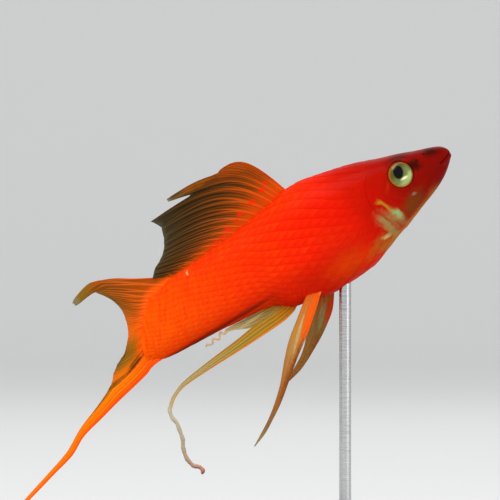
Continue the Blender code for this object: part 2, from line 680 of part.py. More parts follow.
# Pelvic fins: root (along), margin from the long first ray to the last short one
RIGHT_LEADING = ((38.6, -12.4), (42.4, -15.3), (45.1, -17.4), (50.3, -21.1), (54.4, -24.4), (58.5, -27.7),
                 (61.4, -29.6), (64.6, -31.5), (67.9, -32.8))
RIGHT_TRAILING = ((41.4, -11.5), (43.6, -12.6), (47.1, -14.9), (50.0, -17.0), (52.6, -19.4), (57.2, -24.2),
                  (62.3, -28.7), (65.3, -30.7), (68.0, -32.5))
LEFT_LEADING = ((36.3, -13.3), (38.9, -16.4), (41.2, -18.2), (43.6, -20.1), (45.6, -21.0), (49.0, -22.8),
                (53.0, -24.3))
LEFT_TRAILING = ((39.6, -12.4), (43.3, -16.1), (45.1, -17.7), (48.9, -21.2), (50.8, -22.4), (52.8, -23.5))
PELVIC_ASIDE = 2.2
PELVIC_SPREAD = 1.6             # how far the fins swing out from the middle
PELVIC_CURL = 2.2
PELVIC_TWIST = 0.5
PELVIC_ROWS = 11
PELVIC_COLUMNS = 9


def make_pelvic_fins(fish, material):
    for name, side, leading, trailing in (("pelvic_fin_right", -1, RIGHT_LEADING, RIGHT_TRAILING),
                                          ("pelvic_fin_left", 1, LEFT_LEADING, LEFT_TRAILING)):
        grid = strip(trailing, leading, PELVIC_ROWS, PELVIC_COLUMNS)
        share = np.linspace(0, 1, PELVIC_ROWS)[:, None]
        across = np.linspace(0, 1, PELVIC_COLUMNS)[None, :]
        spread = PELVIC_SPREAD * np.sin(share * PELVIC_CURL) + PELVIC_TWIST * share * across
        aside = side * (PELVIC_ASIDE + spread)
        half = fin_thickness(PELVIC_ROWS, PELVIC_COLUMNS)
        make_fin(name, grid, aside, half, fish, material, root_height=under_belly)


PECTORAL_ALONG = 21.6
PECTORAL_HEIGHT = (-1.6, -4.6)
PECTORAL_LENGTH = 14.0
PECTORAL_SHORTER = 0.4          # the last ray is this much shorter than the first
PECTORAL_RAYS = 9
PECTORAL_ROWS = 7
PECTORAL_ROOT = 0.34            # half thickness at the root
PECTORAL_FLARE = 3.6            # how far the margin stands off the flank
PECTORAL_RIGHT = (4, -34)       # way of the first and last ray: the right fin lies back along the flank
PECTORAL_LEFT = (-38, -70)      # and the left one is lowered


def make_pectoral_fins(fish, material):
    share = np.linspace(0, 1, PECTORAL_RAYS)
    height = PECTORAL_HEIGHT[0] + (PECTORAL_HEIGHT[1] - PECTORAL_HEIGHT[0]) * share
    roots = np.stack([np.full(PECTORAL_RAYS, PECTORAL_ALONG), height], axis=-1)
    length = PECTORAL_LENGTH * (1 - PECTORAL_SHORTER * share ** 1.5)
    for name, side, turn in (("pectoral_fin_right", -1, PECTORAL_RIGHT),
                             ("pectoral_fin_left", 1, PECTORAL_LEFT)):
        angle = turn[0] + (turn[1] - turn[0]) * share
        tips = roots + heading(angle) * length[:, None]
        grid = with_membranes(ray_fan(roots, tips, angle, angle, 0.33, 0.33, PECTORAL_ROWS))
        rows, columns, _ = grid.shape
        half = fin_thickness(rows, columns, root=PECTORAL_ROOT)
        rise = np.linspace(0, 1, rows)[:, None]
        beside = flank(grid[:1, :, 0], grid[:1, :, 1]) + GAP + PECTORAL_ROOT
        aside = beside + PECTORAL_FLARE * rise
        make_fin(name, grid, side * aside, half, fish, material)


def fish_underside(x, y):
    """World height of the fish's skin straight over a point of the stand."""
    low = 0.0
    high = SNOUT_Z
    for _ in range(40):
        z = (low + high) / 2
        along = -math.cos(PITCH) * (x - SNOUT_X) - math.sin(PITCH) * (z - SNOUT_Z)
        height = -math.sin(PITCH) * (x - SNOUT_X) + math.cos(PITCH) * (z - SNOUT_Z)
        if height < underside(along, y):
            low = z
        else:
            high = z
    return low


def make_stand(base_material, rod_material):
    corners = []
    for corner in range(4):
        middle_x = (BASE_LENGTH / 2 - BASE_CORNER) * (1 if corner in (0, 3) else -1)
        middle_y = (BASE_WIDTH / 2 - BASE_CORNER) * (1 if corner < 2 else -1)
        for step in range(CORNER_STEPS + 1):
            angle = math.radians(90 * (corner + step / CORNER_STEPS))
            corners.append((middle_x + BASE_CORNER * math.cos(angle),
                            middle_y + BASE_CORNER * math.sin(angle)))
    work = bmesh.new()
    outline = [work.verts.new((x * MM, y * MM, 0.0)) for x, y in corners]
    bottom = work.faces.new(outline)
    raised = bmesh.ops.extrude_face_region(work, geom=[bottom])
    top = [item for item in raised["geom"] if isinstance(item, bmesh.types.BMVert)]
    bmesh.ops.translate(work, verts=top, vec=(0, 0, BASE_THICKNESS * MM))
    bmesh.ops.recalc_face_normals(work, faces=work.faces)
    mesh = bpy.data.meshes.new("stand_base")
    work.to_mesh(mesh)
    work.free()
    mesh.shade_smooth()
    mesh.set_sharp_from_angle(angle=math.radians(40))
    mesh.materials.append(base_material)
    base = bpy.data.objects.new("stand_base", mesh)
    bpy.context.scene.collection.objects.link(base)
    bevel = base.modifiers.new("edge", "BEVEL")
    bevel.width = BASE_BEVEL * MM
    bevel.segments = 3
    bevel.limit_method = "ANGLE"
    bevel.angle_limit = math.radians(60)

    angle = np.arange(ROD_SIDES) * 2 * math.pi / ROD_SIDES
    x = ROD_RADIUS * np.cos(angle)
    y = ROD_RADIUS * np.sin(angle)
    foot = BASE_THICKNESS + GAP
    top_height = np.array([fish_underside(ROD_X + a, b) - GAP for a, b in zip(x, y)])
    low_ring = np.stack([x, y, np.full(ROD_SIDES, foot)], axis=-1)
    rings = np.stack([low_ring, np.stack([x, y, top_height], axis=-1)])
    middle = fish_underside(ROD_X, 0.0) - GAP
    shape = loft(rings * MM, (0, 0, foot * MM), (0, 0, middle * MM))
    rod = add_object("stand_rod", *shape, rod_material)
    rod.location = (ROD_X * MM, 0, 0)


def main():
    clear_scene()
    skin = make_material("skin", (0.80, 0.08, 0.03), 0.35)
    eye = make_material("eye", (0.75, 0.78, 0.55), 0.1)
    fin = make_material("fin", (0.85, 0.40, 0.08), 0.3, alpha=0.8)
    thread = make_material("thread", (0.85, 0.72, 0.55), 0.35)
    clear_fin = make_material("clear_fin", (0.90, 0.80, 0.65), 0.25, alpha=0.3)
    base = make_material("base", (0.03, 0.03, 0.03), 0.35)
    rod = make_material("rod", (0.60, 0.60, 0.60), 0.25, metallic=1.0)

    fish = bpy.data.objects.new("fish", None)
    bpy.context.scene.collection.objects.link(fish)
    fish.location = (SNOUT_X * MM, 0, SNOUT_Z * MM)
    fish.rotation_euler = (0, -PITCH, 0)

    make_head(fish, skin, eye)
    make_trunk(fish, skin)
    make_tail_stalk(fish, skin)
    make_dorsal_fin(fish, fin)
    make_caudal_fins(fish, fin)
    make_sword(fish, fin)
    make_anal_fin(fish, fin, thread)
    make_pelvic_fins(fish, fin)
    make_pectoral_fins(fish, clear_fin)
    make_stand(base, rod)
    bpy.context.view_layer.update()


main()
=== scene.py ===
import math

import bmesh
import bpy
import numpy as np
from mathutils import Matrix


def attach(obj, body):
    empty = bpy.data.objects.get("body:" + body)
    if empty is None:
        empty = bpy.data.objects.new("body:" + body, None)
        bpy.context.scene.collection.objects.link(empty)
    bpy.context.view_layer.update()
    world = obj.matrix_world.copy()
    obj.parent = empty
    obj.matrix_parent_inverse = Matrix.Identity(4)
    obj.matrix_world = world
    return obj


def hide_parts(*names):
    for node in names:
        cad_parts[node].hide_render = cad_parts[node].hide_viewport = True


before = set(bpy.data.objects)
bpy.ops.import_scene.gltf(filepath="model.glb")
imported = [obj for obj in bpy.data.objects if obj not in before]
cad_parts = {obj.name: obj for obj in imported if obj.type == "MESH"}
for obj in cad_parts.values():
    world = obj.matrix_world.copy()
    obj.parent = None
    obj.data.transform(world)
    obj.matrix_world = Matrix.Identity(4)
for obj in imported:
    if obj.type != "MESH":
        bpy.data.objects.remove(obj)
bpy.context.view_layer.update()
print("frame loaded with", len(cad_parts), "nodes")

# The fish has its own frame in millimetres: along runs from the snout to the tail, aside to its left
# and height to its back. The whole fish is pitched head up over the stand.
mm = 0.001
pose = {"snoutX": 32.0, "snoutZ": 81.2, "pitch": math.radians(30.66)}

bodyShape = {   # (along, value) pairs; heights and widths in mm
    "back": ((0, 0), (1.0, 2.0), (3.0, 3.0), (6.0, 4.0), (10.0, 5.5), (14.0, 6.75), (18.0, 8.3), (22.0, 9.4),
             (27.0, 10.5), (31.5, 11.3), (34.5, 11.3), (39.0, 10.4), (45.0, 9.3), (52.0, 8.5), (60.0, 7.7),
             (65.0, 7.4), (69.7, 6.2), (80.0, 6.2)),
    "belly": ((0, 0), (1.2, -1.9), (4.0, -4.1), (7.0, -5.6), (11.0, -7.1), (15.0, -8.8), (19.0, -10.1),
              (22.0, -11.3), (26.5, -12.8), (31.0, -13.2), (35.5, -13.4), (40.0, -12.6), (45.5, -11.6),
              (48.5, -9.5), (51.0, -8.85), (54.0, -8.5), (57.0, -8.35), (60.2, -8.0), (63.5, -7.8),
              (67.0, -7.65), (72.0, -7.4), (75.0, -7.0), (76.9, -6.1), (80.0, -6.1)),
    "halfWidth": ((0, 0), (1.5, 1.9), (4.5, 3.1), (9.0, 4.3), (15.0, 5.2), (20.0, 5.7), (28.0, 6.1),
                  (37.0, 5.8), (48.0, 4.3), (60.0, 3.0), (80.0, 1.6)),
    "waist": ((0, 0.5), (5.0, 0.56), (12.0, 0.62), (22.0, 0.57), (40.0, 0.54), (60.0, 0.5), (80.0, 0.5)),
    "backPower": ((0, 2.0), (6.0, 2.4), (14.0, 2.5), (26.0, 2.1), (40.0, 1.9), (80.0, 2.0)),
    "bellyPower": ((0, 2.0), (8.0, 1.9), (20.0, 2.0), (32.0, 2.2), (46.0, 2.0), (80.0, 2.0)),
    "gillEdge": ((-90, 11.8), (-62, 15.2), (-35, 19.0), (-8, 20.5), (15, 19.2), (40, 16.4), (66, 15.3),
                 (90, 15.2)),   # (degrees from belly to back, along)
    "stalkStart": 51.0,
    "stalkTaper": ((0, 1.0), (0.4, 0.76), (0.7, 0.48), (0.9, 0.2), (1.0, 0.07)),
    "tailRoot": 74.85, "tailRootSlant": 0.58, "tailRootBulge": 0.04, "overFin": 1.6,
    "swayStart": 72.0, "swayLength": 16.0, "sway": 1.1,
}


# Smooth curve through (x, y) pairs: cubic pieces whose slope at a knot is the harmonic mean of the
# slopes on its two sides, and level at a peak, so the curve never swings past the knots.
def smoothThrough(points):
    xs, ys = np.array(points, float).T
    widths = np.diff(xs)
    slopes = np.diff(ys) / widths
    product = slopes[:-1] * slopes[1:]
    total = np.where(product > 0, slopes[:-1] + slopes[1:], 1.0)
    tangents = np.concatenate([slopes[:1], np.where(product > 0, 2 * product / total, 0.0), slopes[-1:]])

    def value(x):
        x = np.clip(np.asarray(x, float), xs[0], xs[-1])
        i = np.clip(np.searchsorted(xs, x, side="right") - 1, 0, len(xs) - 2)
        t = (x - xs[i]) / widths[i]
        start = (1 + 2 * t) * (1 - t) ** 2 * ys[i] + t * (1 - t) ** 2 * widths[i] * tangents[i]
        end = t * t * (3 - 2 * t) * ys[i + 1] + t * t * (t - 1) * widths[i] * tangents[i + 1]
        return start + end

    return value


# The same over the square root of along, so that the snout ends blunt.
def roundedNose(points):
    curve = smoothThrough([(math.sqrt(x), y) for x, y in points])
    return lambda along: curve(np.sqrt(np.maximum(along, 0.0)))


back = roundedNose(bodyShape["back"])
belly = roundedNose(bodyShape["belly"])
halfWidth = roundedNose(bodyShape["halfWidth"])
waist = smoothThrough(bodyShape["waist"])
backPower = smoothThrough(bodyShape["backPower"])
bellyPower = smoothThrough(bodyShape["bellyPower"])
gillEdge = smoothThrough(bodyShape["gillEdge"])
stalkTaper = smoothThrough(bodyShape["stalkTaper"])


def smoothStep(low, high, x):   # 0 below low, 1 above high, an S between
    t = np.clip((x - low) / (high - low), 0, 1)
    return t * t * (3 - 2 * t)


def bell(x, width):             # 1 at 0, falling off as exp(-(x / width)^2)
    return np.exp(-(x / width) ** 2)


def waistHeight(along):         # a share of the way from the belly to the back
    return belly(along) + waist(along) * (back(along) - belly(along))


# Section of the body: a superellipse round the waist line, with its own reach and power above and below.
# elevation is -90 at the belly and 90 at the back.
def section(along, elevation, width):
    sine = np.sin(np.radians(elevation))
    cosine = np.clip(np.cos(np.radians(elevation)), 0, 1)
    power = np.where(sine > 0, backPower(along), bellyPower(along))
    middle = waistHeight(along)
    reach = np.where(sine > 0, back(along) - middle, middle - belly(along))
    return width * cosine ** (2 / power), middle + reach * np.sign(sine) * np.abs(sine) ** (2 / power)


# Half width of the body at a height: the superellipse solved for its width.
def flank(along, height):
    middle = waistHeight(along)
    upper = height > middle
    reach = np.where(upper, back(along) - middle, middle - belly(along))
    power = np.where(upper, backPower(along), bellyPower(along))
    share = np.clip(np.abs(height - middle) / np.maximum(reach, 1e-6), 0, 1)
    return halfWidth(along) * (1 - share ** power) ** (1 / power)


# Height of the belly at a distance aside: the same superellipse solved for its height.
def underside(along, aside):
    middle = waistHeight(along)
    power = bellyPower(along)
    share = np.clip(np.abs(aside) / halfWidth(along), 0, 1)
    return middle - (middle - belly(along)) * (1 - share ** power) ** (1 / power)


def tailRoot(height):           # along of the slanting, curved end of the flesh
    b = bodyShape
    return b["tailRoot"] - b["tailRootSlant"] * height - b["tailRootBulge"] * height ** 2


# Sideways sweep of the tail: a sine of the distance behind its start, eased in.
def tailSweep(along):
    behind = np.clip(along - bodyShape["swayStart"], 0, None) / bodyShape["swayLength"]
    return bodyShape["sway"] * np.sin(behind) * np.clip(2 * behind, 0, 1)


def tailEnd(elevation):         # the skin ends in a thin sheath over the tail fin's base
    return tailRoot(section(bodyShape["tailRoot"], elevation, 1.0)[1]) + bodyShape["overFin"]


# Point of the bare body at along and elevation: the section, narrowed towards the tail root.
def bodyPoint(along, elevation, side):
    start = bodyShape["stalkStart"]
    share = np.clip((along - start) / (tailEnd(elevation) - start), 0, 1)
    width = np.where(along > start, halfWidth(start) * stalkTaper(share), halfWidth(along))
    aside, height = section(along, elevation, width)
    return np.stack(np.broadcast_arrays(along, side * aside + tailSweep(along), height), axis=-1)


# Outward direction there: the cross product of two short steps over the body.
def bodyNormal(along, elevation, side):
    step = 0.05
    turn = 1.0
    forward = bodyPoint(along + step, elevation, side) - bodyPoint(along - step, elevation, side)
    upward = bodyPoint(along, elevation + turn, side) - bodyPoint(along, elevation - turn, side)
    normal = np.cross(forward, upward) * -side[..., None]
    return normal / np.maximum(np.linalg.norm(normal, axis=-1, keepdims=True), 1e-9)


# Fish frame to world: turn by the pitch about the side axis, then move the snout to its place.
def toWorld(points):
    along, aside, height = np.moveaxis(np.asarray(points, float), -1, 0)
    cosine = math.cos(pose["pitch"])
    sine = math.sin(pose["pitch"])
    x = pose["snoutX"] - cosine * along - sine * height
    z = pose["snoutZ"] - sine * along + cosine * height
    return np.stack([x, aside, z], axis=-1) * mm


# Quads of a grid of rows and columns, as whole arrays.
def gridQuads(rows, columns, closed=False):
    row = np.arange(rows - 1)[:, None]
    column = np.arange(columns if closed else columns - 1)[None, :]
    a = row * columns + column
    b = row * columns + (column + 1) % columns
    return np.stack([a, a + columns, b + columns, b], axis=-1).reshape(-1, 4)


def gridRim(rows, columns):     # the grid's outer points in order, once round
    top = (rows - 1) * columns
    return np.concatenate([np.arange(columns), np.arange(1, rows) * columns + columns - 1,
                           top + np.arange(columns - 2, -1, -1), np.arange(rows - 2, 0, -1) * columns])


# Quads of a tube of rings, and a fan at each end to the two points that follow the rings.
def tubeFaces(rings, sides):
    j = np.arange(sides)
    following = (j + 1) % sides
    last = (rings - 1) * sides
    first = np.stack([np.full(sides, rings * sides), following, j], axis=-1)
    end = np.stack([np.full(sides, rings * sides + 1), last + j, last + following], axis=-1)
    return [gridQuads(rings, sides, closed=True), first, end]


def circle(sides):              # (cosine, sine) of evenly spaced angles
    angle = np.arange(sides) * 2 * math.pi / sides
    return np.stack([np.cos(angle), np.sin(angle)], axis=-1)


# A mesh piece from points in metres and a list of arrays of faces.
def makePiece(name, points, faceArrays, material, outwards=True):
    mesh = bpy.data.meshes.new(name)
    faces = [face for array in faceArrays for face in np.asarray(array).tolist()]
    mesh.from_pydata(np.asarray(points).reshape(-1, 3).tolist(), [], faces)
    if outwards:
        work = bmesh.new()
        work.from_mesh(mesh)
        bmesh.ops.recalc_face_normals(work, faces=work.faces)
        work.to_mesh(mesh)
        work.free()
    mesh.shade_smooth()
    mesh.set_sharp_from_angle(angle=math.radians(50))
    mesh.materials.append(material)
    piece = bpy.data.objects.new(name, mesh)
    bpy.context.scene.collection.objects.link(piece)
    return piece


def addValues(piece, name, values):     # one number for each point, for the material to read
    attribute = piece.data.attributes.new(name, "FLOAT", "POINT")
    attribute.data.foreach_set("value", np.asarray(values, np.float32).ravel())


def addMap(piece, name, points):        # a UV map given by a (u, v) for each point
    layer = piece.data.uv_layers.new(name=name)
    corners = np.zeros(len(piece.data.loops), np.int32)
    piece.data.loops.foreach_get("vertex_index", corners)
    layer.data.foreach_set("uv", np.asarray(points, np.float32).reshape(-1, 2)[corners].ravel())


def settle(piece, slot, *nodes):        # the piece rides on the frame and stands for those nodes
    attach(piece, "root")
    if nodes:
        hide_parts(*nodes)
    return piece


# Material building. Each helper adds a node to the tree of the sockets that it is given and returns
# its output socket. Plain numbers and colours may stand in a socket's place.
def newMaterial(name):          # with its tree and its shader
    material = bpy.data.materials.new(name)
    material.use_nodes = True
    return material, material.node_tree, material.node_tree.nodes["Principled BSDF"]


def feed(node, inputs):         # links the sockets and sets the plain values
    for key, value in inputs.items():
        if isinstance(value, bpy.types.NodeSocket):
            node.id_data.links.new(value, node.inputs[key])
        else:
            node.inputs[key].default_value = value


def addNode(tree, kind, inputs, **settings):  # the settings are the node's own properties
    node = tree.nodes.new(kind)
    for key, value in settings.items():
        setattr(node, key, value)
    feed(node, inputs)
    return node


def derive(kind, inputs, **settings):   # a node in the tree of its first linked input
    linked = [value for value in inputs.values() if isinstance(value, bpy.types.NodeSocket)]
    return addNode(linked[0].id_data, kind, inputs, **settings)


def reckon(operation, *values): # one math node
    return derive("ShaderNodeMath", dict(enumerate(values)), operation=operation).outputs[0]


def chained(operation):         # a step for two numbers made into one for any number
    def result(first, *others):
        for other in others:
            first = reckon(operation, first, other)
        return first
    return result


plus = chained("ADD")
minus = chained("SUBTRACT")
times = chained("MULTIPLY")


def centred(value, amount):     # 0 to 1 becomes -amount / 2 to amount / 2
    return times(minus(value, 0.5), amount)


def magnitude(x, y):            # root of x^2 + y^2
    return reckon("SQRT", plus(times(x, x), times(y, y)))


def spread(value, low, high, first=0.0, last=1.0):      # an S from first at low to last at high
    values = {"Value": value, "From Min": low, "From Max": high, "To Min": first, "To Max": last}
    return derive("ShaderNodeMapRange", values, interpolation_type="SMOOTHSTEP").outputs[0]


def colour(value):              # a single number is a grey
    if isinstance(value, float):
        value = (value, value, value)
    return (*value, 1.0) if isinstance(value, tuple) else value


def blendColour(factor, first, second):  # first at 0 and second at 1
    values = {0: factor, 6: colour(first), 7: colour(second)}
    return derive("ShaderNodeMix", values, data_type="RGBA").outputs[2]


def ramp(value, stops):         # colours at places of 0 to 1, blended between them
    node = derive("ShaderNodeValToRGB", {0: value})
    elements = node.color_ramp.elements
    while len(elements) < len(stops):
        elements.new(0.5)
    for element, (place, shade) in zip(elements, stops):
        element.position = place
        element.color = colour(shade)
    return node.outputs[0]


def speckle(vector, scale, detail=3.0, roughness=0.5):  # smooth noise about 0.5
    values = {"Vector": vector, "Scale": scale, "Detail": detail, "Roughness": roughness}
    return derive("ShaderNodeTexNoise", values).outputs[0]


def stretched(vector, scale):   # each axis times a number of its own
    return derive("ShaderNodeMapping", {"Vector": vector, "Scale": scale}).outputs[0]


def partsOf(vector):            # x, y and z
    return derive("ShaderNodeSeparateXYZ", {0: vector}).outputs[:]


def joined(x, y, z=0.0):        # the reverse of partsOf
    return derive("ShaderNodeCombineXYZ", {0: x, 1: y, 2: z}).outputs[0]


def uvPlace(tree, name):        # a point's (u, v) in the piece's map
    return addNode(tree, "ShaderNodeUVMap", {}, uv_map=name).outputs[0]


def pointValue(tree, name):     # a number that addValues put on the piece
    return addNode(tree, "ShaderNodeAttribute", {}, attribute_name=name).outputs["Fac"]


def objectPlace(tree):          # a point's place in metres
    return addNode(tree, "ShaderNodeTexCoord", {}).outputs["Object"]


def finishSurface(shader, look, shade, roughness):      # wet gloss under a thin clear coat
    feed(shader, {"Base Color": shade, "Roughness": roughness, "Specular IOR Level": look["gloss"],
                  "Specular Tint": colour(look["glossTint"]), "Coat Weight": look["coat"],
                  "Coat Roughness": look["coatRoughness"]})


def addBump(shader, height, strength, depth):           # depth in mm
    values = {"Strength": strength, "Distance": depth * mm, "Height": height}
    feed(shader, {"Normal": derive("ShaderNodeBump", values).outputs[0]})


# Object coordinates turned into the fish's own frame, in millimetres.
def fishFrame(tree):
    values = {"Vector": objectPlace(tree), "Location": (pose["snoutX"] * mm, 0, pose["snoutZ"] * mm),
              "Rotation": (0, -pose["pitch"], 0), "Scale": (-mm, mm, mm)}
    return derive("ShaderNodeMapping", values, vector_type="TEXTURE").outputs[0]


# Distance from the middle of an oval, as a share of its radii. Its long axis is turned by the angle
# in degrees.
def ovalDistance(x, y, centre, radii, angle):
    cosine = math.cos(math.radians(angle))
    sine = math.sin(math.radians(angle))
    dx = minus(x, centre[0])
    dy = minus(y, centre[1])
    return magnitude(plus(times(dx, cosine / radii[0]), times(dy, sine / radii[0])),
                     minus(times(dy, cosine / radii[1]), times(dx, sine / radii[1])))


# Soft-edged oval patch: 1 well within the radii and 0 well outside, its edge roughened by the wobble.
def blotch(x, y, wobble, centre, radii, angle=0.0, softness=0.45):
    distance = plus(ovalDistance(x, y, centre, radii, angle), wobble)
    return spread(distance, 1.0 + softness, 1.0 - softness)


# Skin and scales carry the same markings, in the fish's own frame.
skinLook = {
    "ground": ((0, (0.17, 0.002, 0.001)), (7, (0.21, 0.003, 0.001)), (13, (0.29, 0.004, 0.001)),
               (20, (0.48, 0.005, 0.001)), (28, (0.76, 0.007, 0.001)), (40, (0.90, 0.012, 0.001)),
               (54, (0.93, 0.035, 0.001)), (66, (0.95, 0.075, 0.001)), (80, (0.95, 0.115, 0.001))),
    # the darkest red on the next line is a painted shade along the rear edge of the belly
    "orange": (0.95, 0.11, 0.001), "edgeRed": (0.50, 0.004, 0.001), "paintedBellyShade": (0.11, 0.010, 0.003),
    # on the next line, back is a painted light over the upper flank and under a painted shade over the lower
    # flank
    "back": (0.86, 0.035, 0.001), "under": (0.50, 0.010, 0.001), "stripe": (0.72, 0.03, 0.001),
    "throat": (0.42, 0.11, 0.01), "rim": (0.36, 0.20, 0.02), "rimBelow": (0.52, 0.15, 0.008),
    "streakRed": (0.88, 0.018, 0.001), "wine": (0.36, 0.012, 0.002), "gold": (0.42, 0.24, 0.012),
    "pearl": (0.30, 0.26, 0.08), "cream": (0.62, 0.52, 0.20), "silver": (0.27, 0.44, 0.17),
    "blueGrey": (0.26, 0.17, 0.17), "smudge": (0.035, 0.003, 0.001), "murk": (0.15, 0.045, 0.005),
    "roughness": 0.46, "gloss": 0.18, "glossTint": (1.0, 0.14, 0.05), "coat": 0.025, "coatRoughness": 0.25,
    "ior": 1.25, "fineGrain": 1.3, "broadGrain": 0.16, "pits": 4.2, "bump": 0.18, "bumpDepth": 0.06,
    "groundDrift": 9.0, "edgeRoughness": 1.1, "drift": (1.8, 1.4), "driftGrain": 0.5,
    # Ranges are given as the value where a colour starts and the value where it is full
    "paintedLightHeight": (3.5, 10.5), "paintedLightAlong": (22.0, 38.0), "paintedLightStrength": 0.7,
    "paintedShadeHeight": (-2.5, -8.5), "paintedShadeAlong": (24.0, 30.0), "paintedShadeStrength": 0.72,
    "streakLean": (0.94, 0.38), "streakStretch": (2.0, 0.3, 0.3), "streakContrast": (0.40, 0.64),
    "streakAlong": (30.0, 50.0), "streakStrength": 0.42,
    "scaleAlong": (20.0, 44.0), "scaleWarmth": (0.07, 0.12), "scaleEdge": 0.2,
    # Bands: slope, range of height + slope * along, range along in front and behind, colour, strength
    "bands": (
        # the first row is the painted shade along the rear edge of the belly
        (0.0, (-6.3, -7.3), (46.5, 53.0), (90.0, 80.0), "paintedBellyShade", 0.85),
        (0.0, (-7.35, -7.75), (46.0, 50.0), (67.0, 60.0), "stripe", 0.8),
        (0.60, (0.9, -0.9), (5.0, 10.0), (24.0, 15.0), "throat", 0.7),
        (0.60, (-0.5, -1.2), (5.0, 9.0), (21.0, 14.0), "rim", 0.8),
        (0.375, (-1.9, -2.7), (9.0, 12.0), (25.0, 18.0), "rimBelow", 0.7),
    ),
    # Patches: (along, height), (half length, half width), angle, colour, strength, softness of the edge
    "patches": (
        ((22.6, -9.3), (3.4, 1.3), -18, "throat", 0.75, 0.8),
        ((12.4, -5.4), (2.8, 1.5), -30, "murk", 0.8, 0.8),
        ((17.8, -3.2), (1.9, 0.38), 66, "gold", 0.8, 0.85),
        ((18.7, -1.75), (0.85, 0.32), 31, "gold", 0.7, 0.85),
        ((19.2, -6.5), (2.6, 1.35), 72, "pearl", 0.8, 0.8),
        ((16.7, -5.9), (2.0, 0.9), 64, "pearl", 0.75, 0.8),
        ((16.35, -5.6), (1.2, 0.6), 58, "silver", 0.9, 0.7),
        ((19.5, -4.1), (1.5, 0.24), 66, "wine", 0.75, 0.9),
        ((18.4, -6.9), (1.5, 0.26), 70, "wine", 0.55, 0.9),
        ((20.8, -7.3), (1.2, 0.3), 74, "wine", 0.7, 0.9),
        ((20.9, -5.3), (0.9, 0.24), 60, "wine", 0.6, 0.9),
        ((20.9, -8.5), (0.9, 0.45), 8, "cream", 0.8, 0.7),
        ((19.4, -8.6), (1.4, 0.5), 14, "pearl", 0.75, 0.5),
        ((20.3, -9.9), (3.0, 0.5), -18, "gold", 0.4, 0.6),
        ((30.5, -9.6), (4.5, 2.2), 0, "orange", 0.3, 0.9),
        ((11.25, -3.75), (0.4, 0.3), 20, "blueGrey", 0.6, 0.6),
        ((8.1, 1.7), (1.35, 1.0), 50, "smudge", 0.95, 0.7),
        ((3.6, 2.15), (1.5, 0.9), 20, "smudge", 0.95, 0.8),
        ((10.4, 4.6), (2.1, 0.75), 5, "smudge", 0.7, 0.8),
        ((15.5, 0.3), (1.2, 0.3), -55, "orange", 0.1, 0.9),
        ((61.2, 6.5), (0.5, 0.2), -59, "cream", 0.7, 0.4),
        ((38.2, 10.4), (0.16, 0.12), 0, "cream", 0.7, 0.4),
    ),
}


# The skin's colour: a ground that changes along the fish, with painted light on the back, painted shade on
# the belly, streaks, bands and patches laid over it one after the other, each by a mask of its own. The
# scales add a shade of theirs.
def paintSkin(name, scales):
    look = skinLook
    material, tree, shader = newMaterial(name)
    place = fishFrame(tree)
    along, aside, height = partsOf(place)
    fine = speckle(place, look["fineGrain"], 4.0, 0.6)
    broad = speckle(place, look["broadGrain"], 3.0, 0.55)
    wobble = centred(fine, look["edgeRoughness"])
    values = {"Vector": place, "Scale": look["driftGrain"], "Detail": 3.0}
    drift = partsOf(derive("ShaderNodeTexNoise", values).outputs["Color"])
    alongSoft = plus(along, centred(drift[0], look["drift"][0]))
    heightSoft = plus(height, centred(drift[1], look["drift"][1]))

    # Dark red on the snout, pure red on the flank, orange on the tail stalk
    length = look["ground"][-1][0]
    stops = [(spot / length, tint) for spot, tint in look["ground"]]
    shade = ramp(reckon("DIVIDE", plus(along, centred(broad, look["groundDrift"])), length), stops)
    # Painted light and shade: the upper flank brighter red and the lower flank darker red, as lit from above
    above = times(spread(height, *look["paintedLightHeight"]), spread(along, *look["paintedLightAlong"]))
    shade = blendColour(times(above, look["paintedLightStrength"]), shade, look["back"])
    under = times(spread(heightSoft, *look["paintedShadeHeight"]), spread(along, *look["paintedShadeAlong"]))
    shade = blendColour(times(under, look["paintedShadeStrength"]), shade, look["under"])

    # Soft red streaks across the rear flank, leaning backwards as they go down
    leaning = plus(times(along, look["streakLean"][0]), times(height, look["streakLean"][1]))
    streaks = speckle(stretched(joined(leaning, height, aside), look["streakStretch"]), 1.0, 2.0, 0.5)
    streaks = times(spread(streaks, *look["streakContrast"]),
                    spread(along, *look["streakAlong"], 0.0, look["streakStrength"]))
    shade = blendColour(streaks, shade, look["streakRed"])

    # Painted shade in a dark band along the rear edge of the belly, then a paler throat with thin yellowish
    # rims
    for slope, levels, front, rear, tint, strength in look["bands"]:
        level = plus(heightSoft if tint == "throat" else height, times(along, slope))
        mask = times(spread(level, *levels), spread(along, *front), spread(along, *rear), strength)
        shade = blendColour(mask, shade, look[tint])

    for centre, radii, angle, tint, strength, softness in look["patches"]:
        mask = blotch(alongSoft, heightSoft, wobble, centre, radii, angle, softness)
        shade = blendColour(times(mask, strength), shade, look[tint])

    if scales:                  # each scale a shade of its own, darker along its free edge
        least, more = look["scaleWarmth"]
        edge = pointValue(tree, "edge")
        warm = plus(times(pointValue(tree, "tone"), more), least)
        warm = times(minus(1.0, edge), spread(along, *look["scaleAlong"], 0.1, 1.0), warm)
        # the scales' orange is kept off the painted shade of the lower flank
        warm = times(warm, minus(1.0, times(under, 0.8)))
        shade = blendColour(warm, shade, look["orange"])
        shade = blendColour(times(edge, look["scaleEdge"]), shade, look["edgeRed"])
    rough = spread(fine, 0.3, 0.8, look["roughness"] - 0.06, look["roughness"] + 0.12)
    finishSurface(shader, look, shade, rough)
    shader.inputs["IOR"].default_value = look["ior"]
    pits = derive("ShaderNodeTexVoronoi", {"Vector": place, "Scale": look["pits"]}).outputs["Distance"]
    addBump(shader, plus(times(pits, 0.5), fine), look["bump"], look["bumpDepth"])
    return material


skinMaterial = paintSkin("wetSkin", False)
scaleMaterial = paintSkin("wetScales", True)
print("skin materials made")

